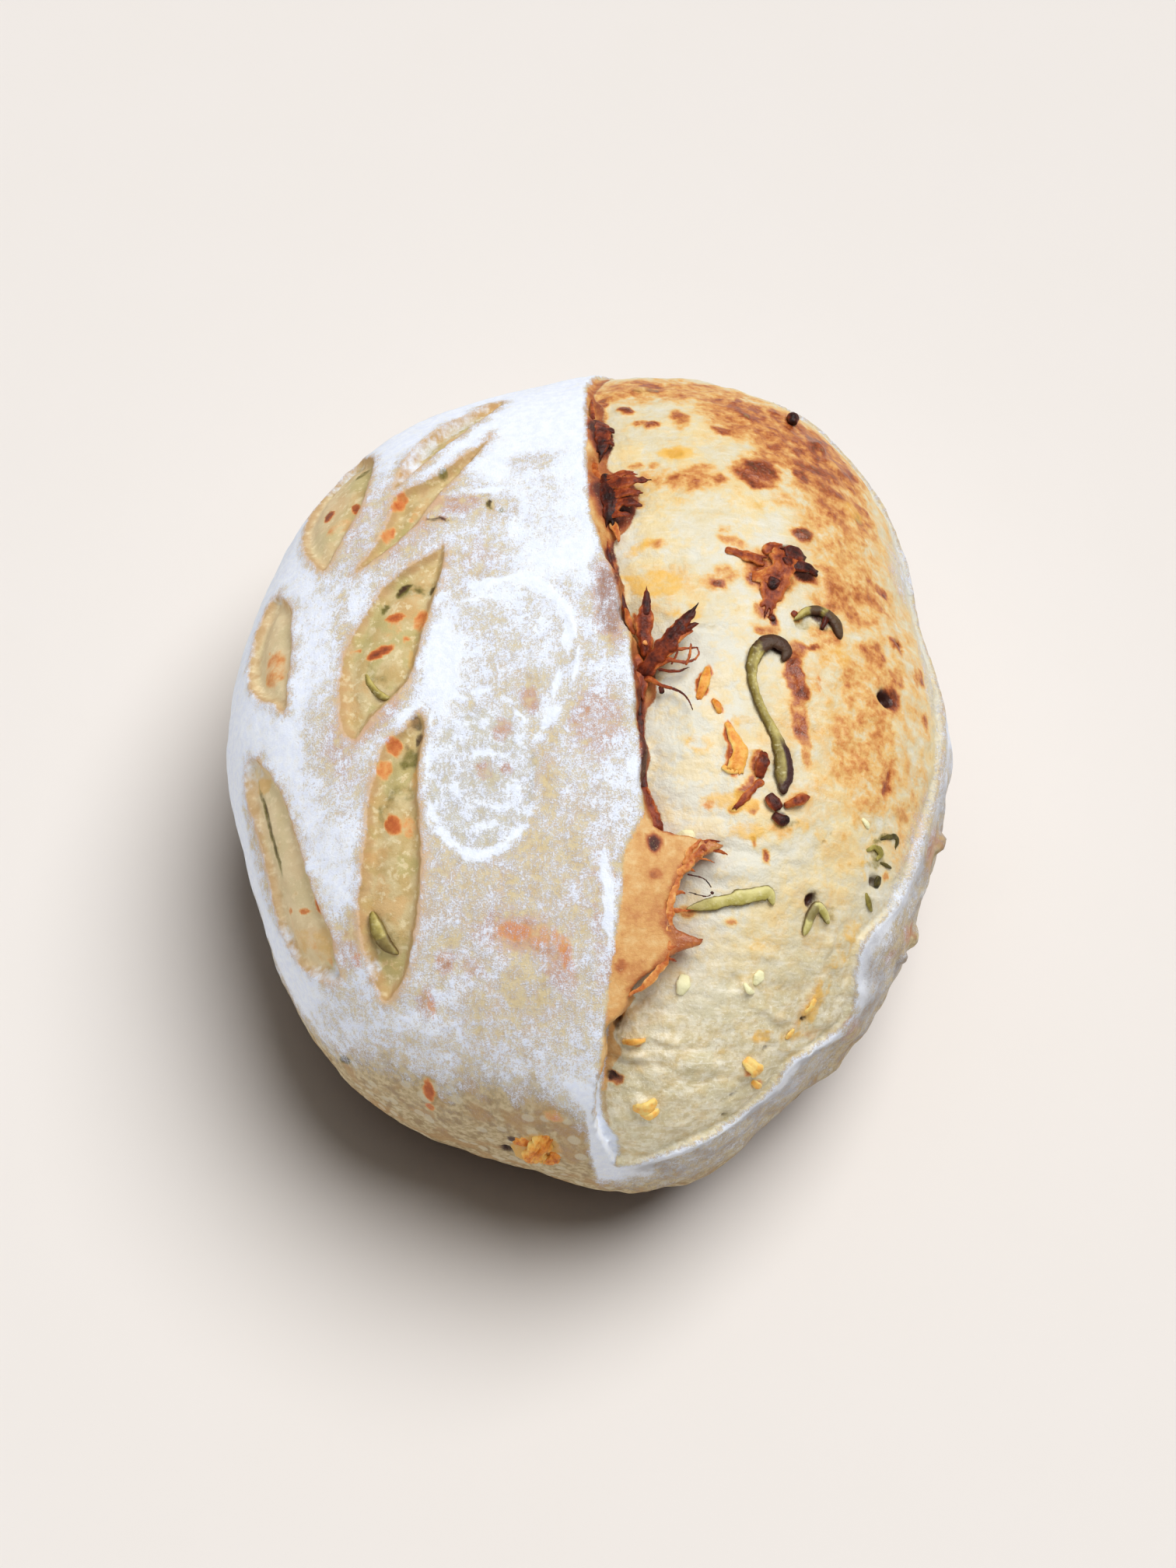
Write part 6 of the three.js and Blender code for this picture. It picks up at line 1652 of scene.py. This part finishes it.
def ragged_material(name, stops, roughness, tips=0.0, edges=0.0):
    """Colours by tone, darker towards the tips and lighter at the side edges."""
    n = Nodes(name)
    coords = n.object_place()
    tone, share, edge = n.three_values("place")
    grain = n.noise(coords, 900, 4, 0.65)
    blotch = n.noise(coords, 330, 3)
    value = n.plus(tone, n.mixed((grain, 0.5)))
    value = n.plus(value, n.mixed((blotch, 0.8)))
    value = n.plus(value, n.times(n.math("POWER", edge, 3), edges))
    value = n.minus(value, n.times(n.math("POWER", share, 3), tips), clamp=True)
    return n.finish(n.ramp(value, stops), roughness, n.bump(grain, FINE_BUMP, 0.6), Specular_IOR_Level=0.25)


CHAR_RAMP = [
    (0.0, (40, 16, 12)), (0.2, (88, 32, 18)), (0.4, (144, 60, 28)), (0.6, (194, 104, 46)),
    (0.8, (228, 158, 86)), (1.0, (244, 202, 136)),
]
CHEESE_RAMP = [
    (0.2, (120, 54, 26)), (0.45, (188, 98, 34)), (0.62, (226, 140, 50)), (0.8, (242, 180, 84)),
    (1.0, (240, 208, 124)),
]
PEPPER_RAMP = [(0.0, (50, 42, 20)), (0.35, (96, 84, 34)), (0.7, (162, 148, 70)), (1.0, (206, 196, 124))]
SEED_RAMP = [(0.0, (220, 200, 124)), (0.6, (238, 230, 168)), (1.0, (246, 242, 196))]


STRAND_VOXEL = 0.3  # mm


def make_bits():
    burnt = ragged_material("charred_crust", CHAR_RAMP, 0.42, tips=0.15, edges=0.3)
    skin = ragged_material("pepper_scrap", PEPPER_RAMP, 0.45, edges=0.1)
    cheese = ragged_material("melted_cheese", CHEESE_RAMP, 0.4, edges=0.25)
    seed = ragged_material("seed", SEED_RAMP, 0.5)
    return [
        ragged_piece("charred_crags", [(FLOOR, CRAGS), (OUTER, CREST)], STRAND_VOXEL, burnt),
        ragged_piece("pepper_bits", [(FLOOR, PEPPER_BITS)], STRAND_VOXEL, skin),
        ragged_piece("cheese_bits", [(FLOOR, CHEESE)], STRAND_VOXEL, cheese),
        ragged_piece("seeds", [(FLOOR, SEEDS)], STRAND_VOXEL, seed),
    ]


# ---- stage, light and camera ---------------------------------------------------------------------

ELEVATION = 65  # degrees
LENS = 60  # mm
LOOK_AT = (0, -5, 45)  # mm
DISTANCE = 670  # mm
FLOOR_HALF = 3000.0  # mm
WORLD_STRENGTH = 0.02
# name, strength, width, elevation and direction in degrees, and whether it lights only the bread
SUNS = [
    ("key", 2.86, 42, 63, 40, False),
    ("soft", 0.42, 94, 64, 60, False),
    ("fill_left", 1.05, 70, 26, 190, True),
    ("fill_front", 0.55, 70, 32, 262, True),
]


def make_camera():
    camera = bpy.data.objects.new("camera", bpy.data.cameras.new("camera"))
    tilt = math.radians(ELEVATION)
    back = np.array([0, -math.cos(tilt), math.sin(tilt)])
    camera.location = (np.array(LOOK_AT) + back * DISTANCE) * MM
    camera.rotation_euler = (math.pi / 2 - tilt, 0, 0)
    camera.data.lens = LENS
    camera.data.clip_start = 0.01
    bpy.context.scene.collection.objects.link(camera)
    bpy.context.scene.camera = camera


def make_stage():
    corners = [(x * FLOOR_HALF, y * FLOOR_HALF, 0) for x, y in ((-1, -1), (1, -1), (1, 1), (-1, 1))]
    floor = new_mesh("floor", corners, [(0, 1, 2, 3)], smooth=False)
    n = Nodes("floor_paper")
    colour = n.mix(n.noise(n.object_place(), 30, 2), linear(246, 240, 235), linear(245, 239, 233))
    floor.data.materials.append(n.finish(colour, 1.0, Specular_IOR_Level=0.0))


def add_sun(name, energy, width, elevation, azimuth, lit):
    """A soft distant light; elevation and azimuth say where it comes from, in degrees."""
    sun = bpy.data.objects.new(name, bpy.data.lights.new(name, "SUN"))
    sun.data.energy = energy
    sun.data.angle = math.radians(width)
    sun.rotation_euler = (math.radians(90 - elevation), 0, math.radians(azimuth + 90))
    if lit is not None:
        sun.light_linking.receiver_collection = lit
    bpy.context.scene.collection.objects.link(sun)


def make_light(bread):
    world = bpy.data.worlds.new("studio")
    world.use_nodes = True
    background = next(node for node in world.node_tree.nodes if node.type == "BACKGROUND")
    background.inputs["Color"].default_value = (1.0, 1.0, 1.0, 1.0)
    background.inputs["Strength"].default_value = WORLD_STRENGTH
    bpy.context.scene.world = world
    lit = bpy.data.collections.new("lit_by_fill")
    for piece in bread:
        lit.objects.link(piece)
    for name, energy, width, elevation, azimuth, bread_only in SUNS:
        add_sun(name, energy, width, elevation, azimuth, lit if bread_only else None)
    scene = bpy.context.scene
    scene.view_settings.view_transform = "Standard"
    scene.view_settings.look = "None"


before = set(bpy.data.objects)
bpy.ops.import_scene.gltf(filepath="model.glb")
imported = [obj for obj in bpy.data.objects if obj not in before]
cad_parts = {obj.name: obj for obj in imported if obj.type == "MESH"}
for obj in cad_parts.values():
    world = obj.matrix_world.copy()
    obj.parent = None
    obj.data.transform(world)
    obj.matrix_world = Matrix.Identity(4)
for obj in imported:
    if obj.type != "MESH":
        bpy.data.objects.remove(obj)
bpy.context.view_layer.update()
make_camera()
make_stage()
loaf = make_loaf()
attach(loaf, "root")
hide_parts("loaf")
make_light([loaf] + make_strips() + make_bits())
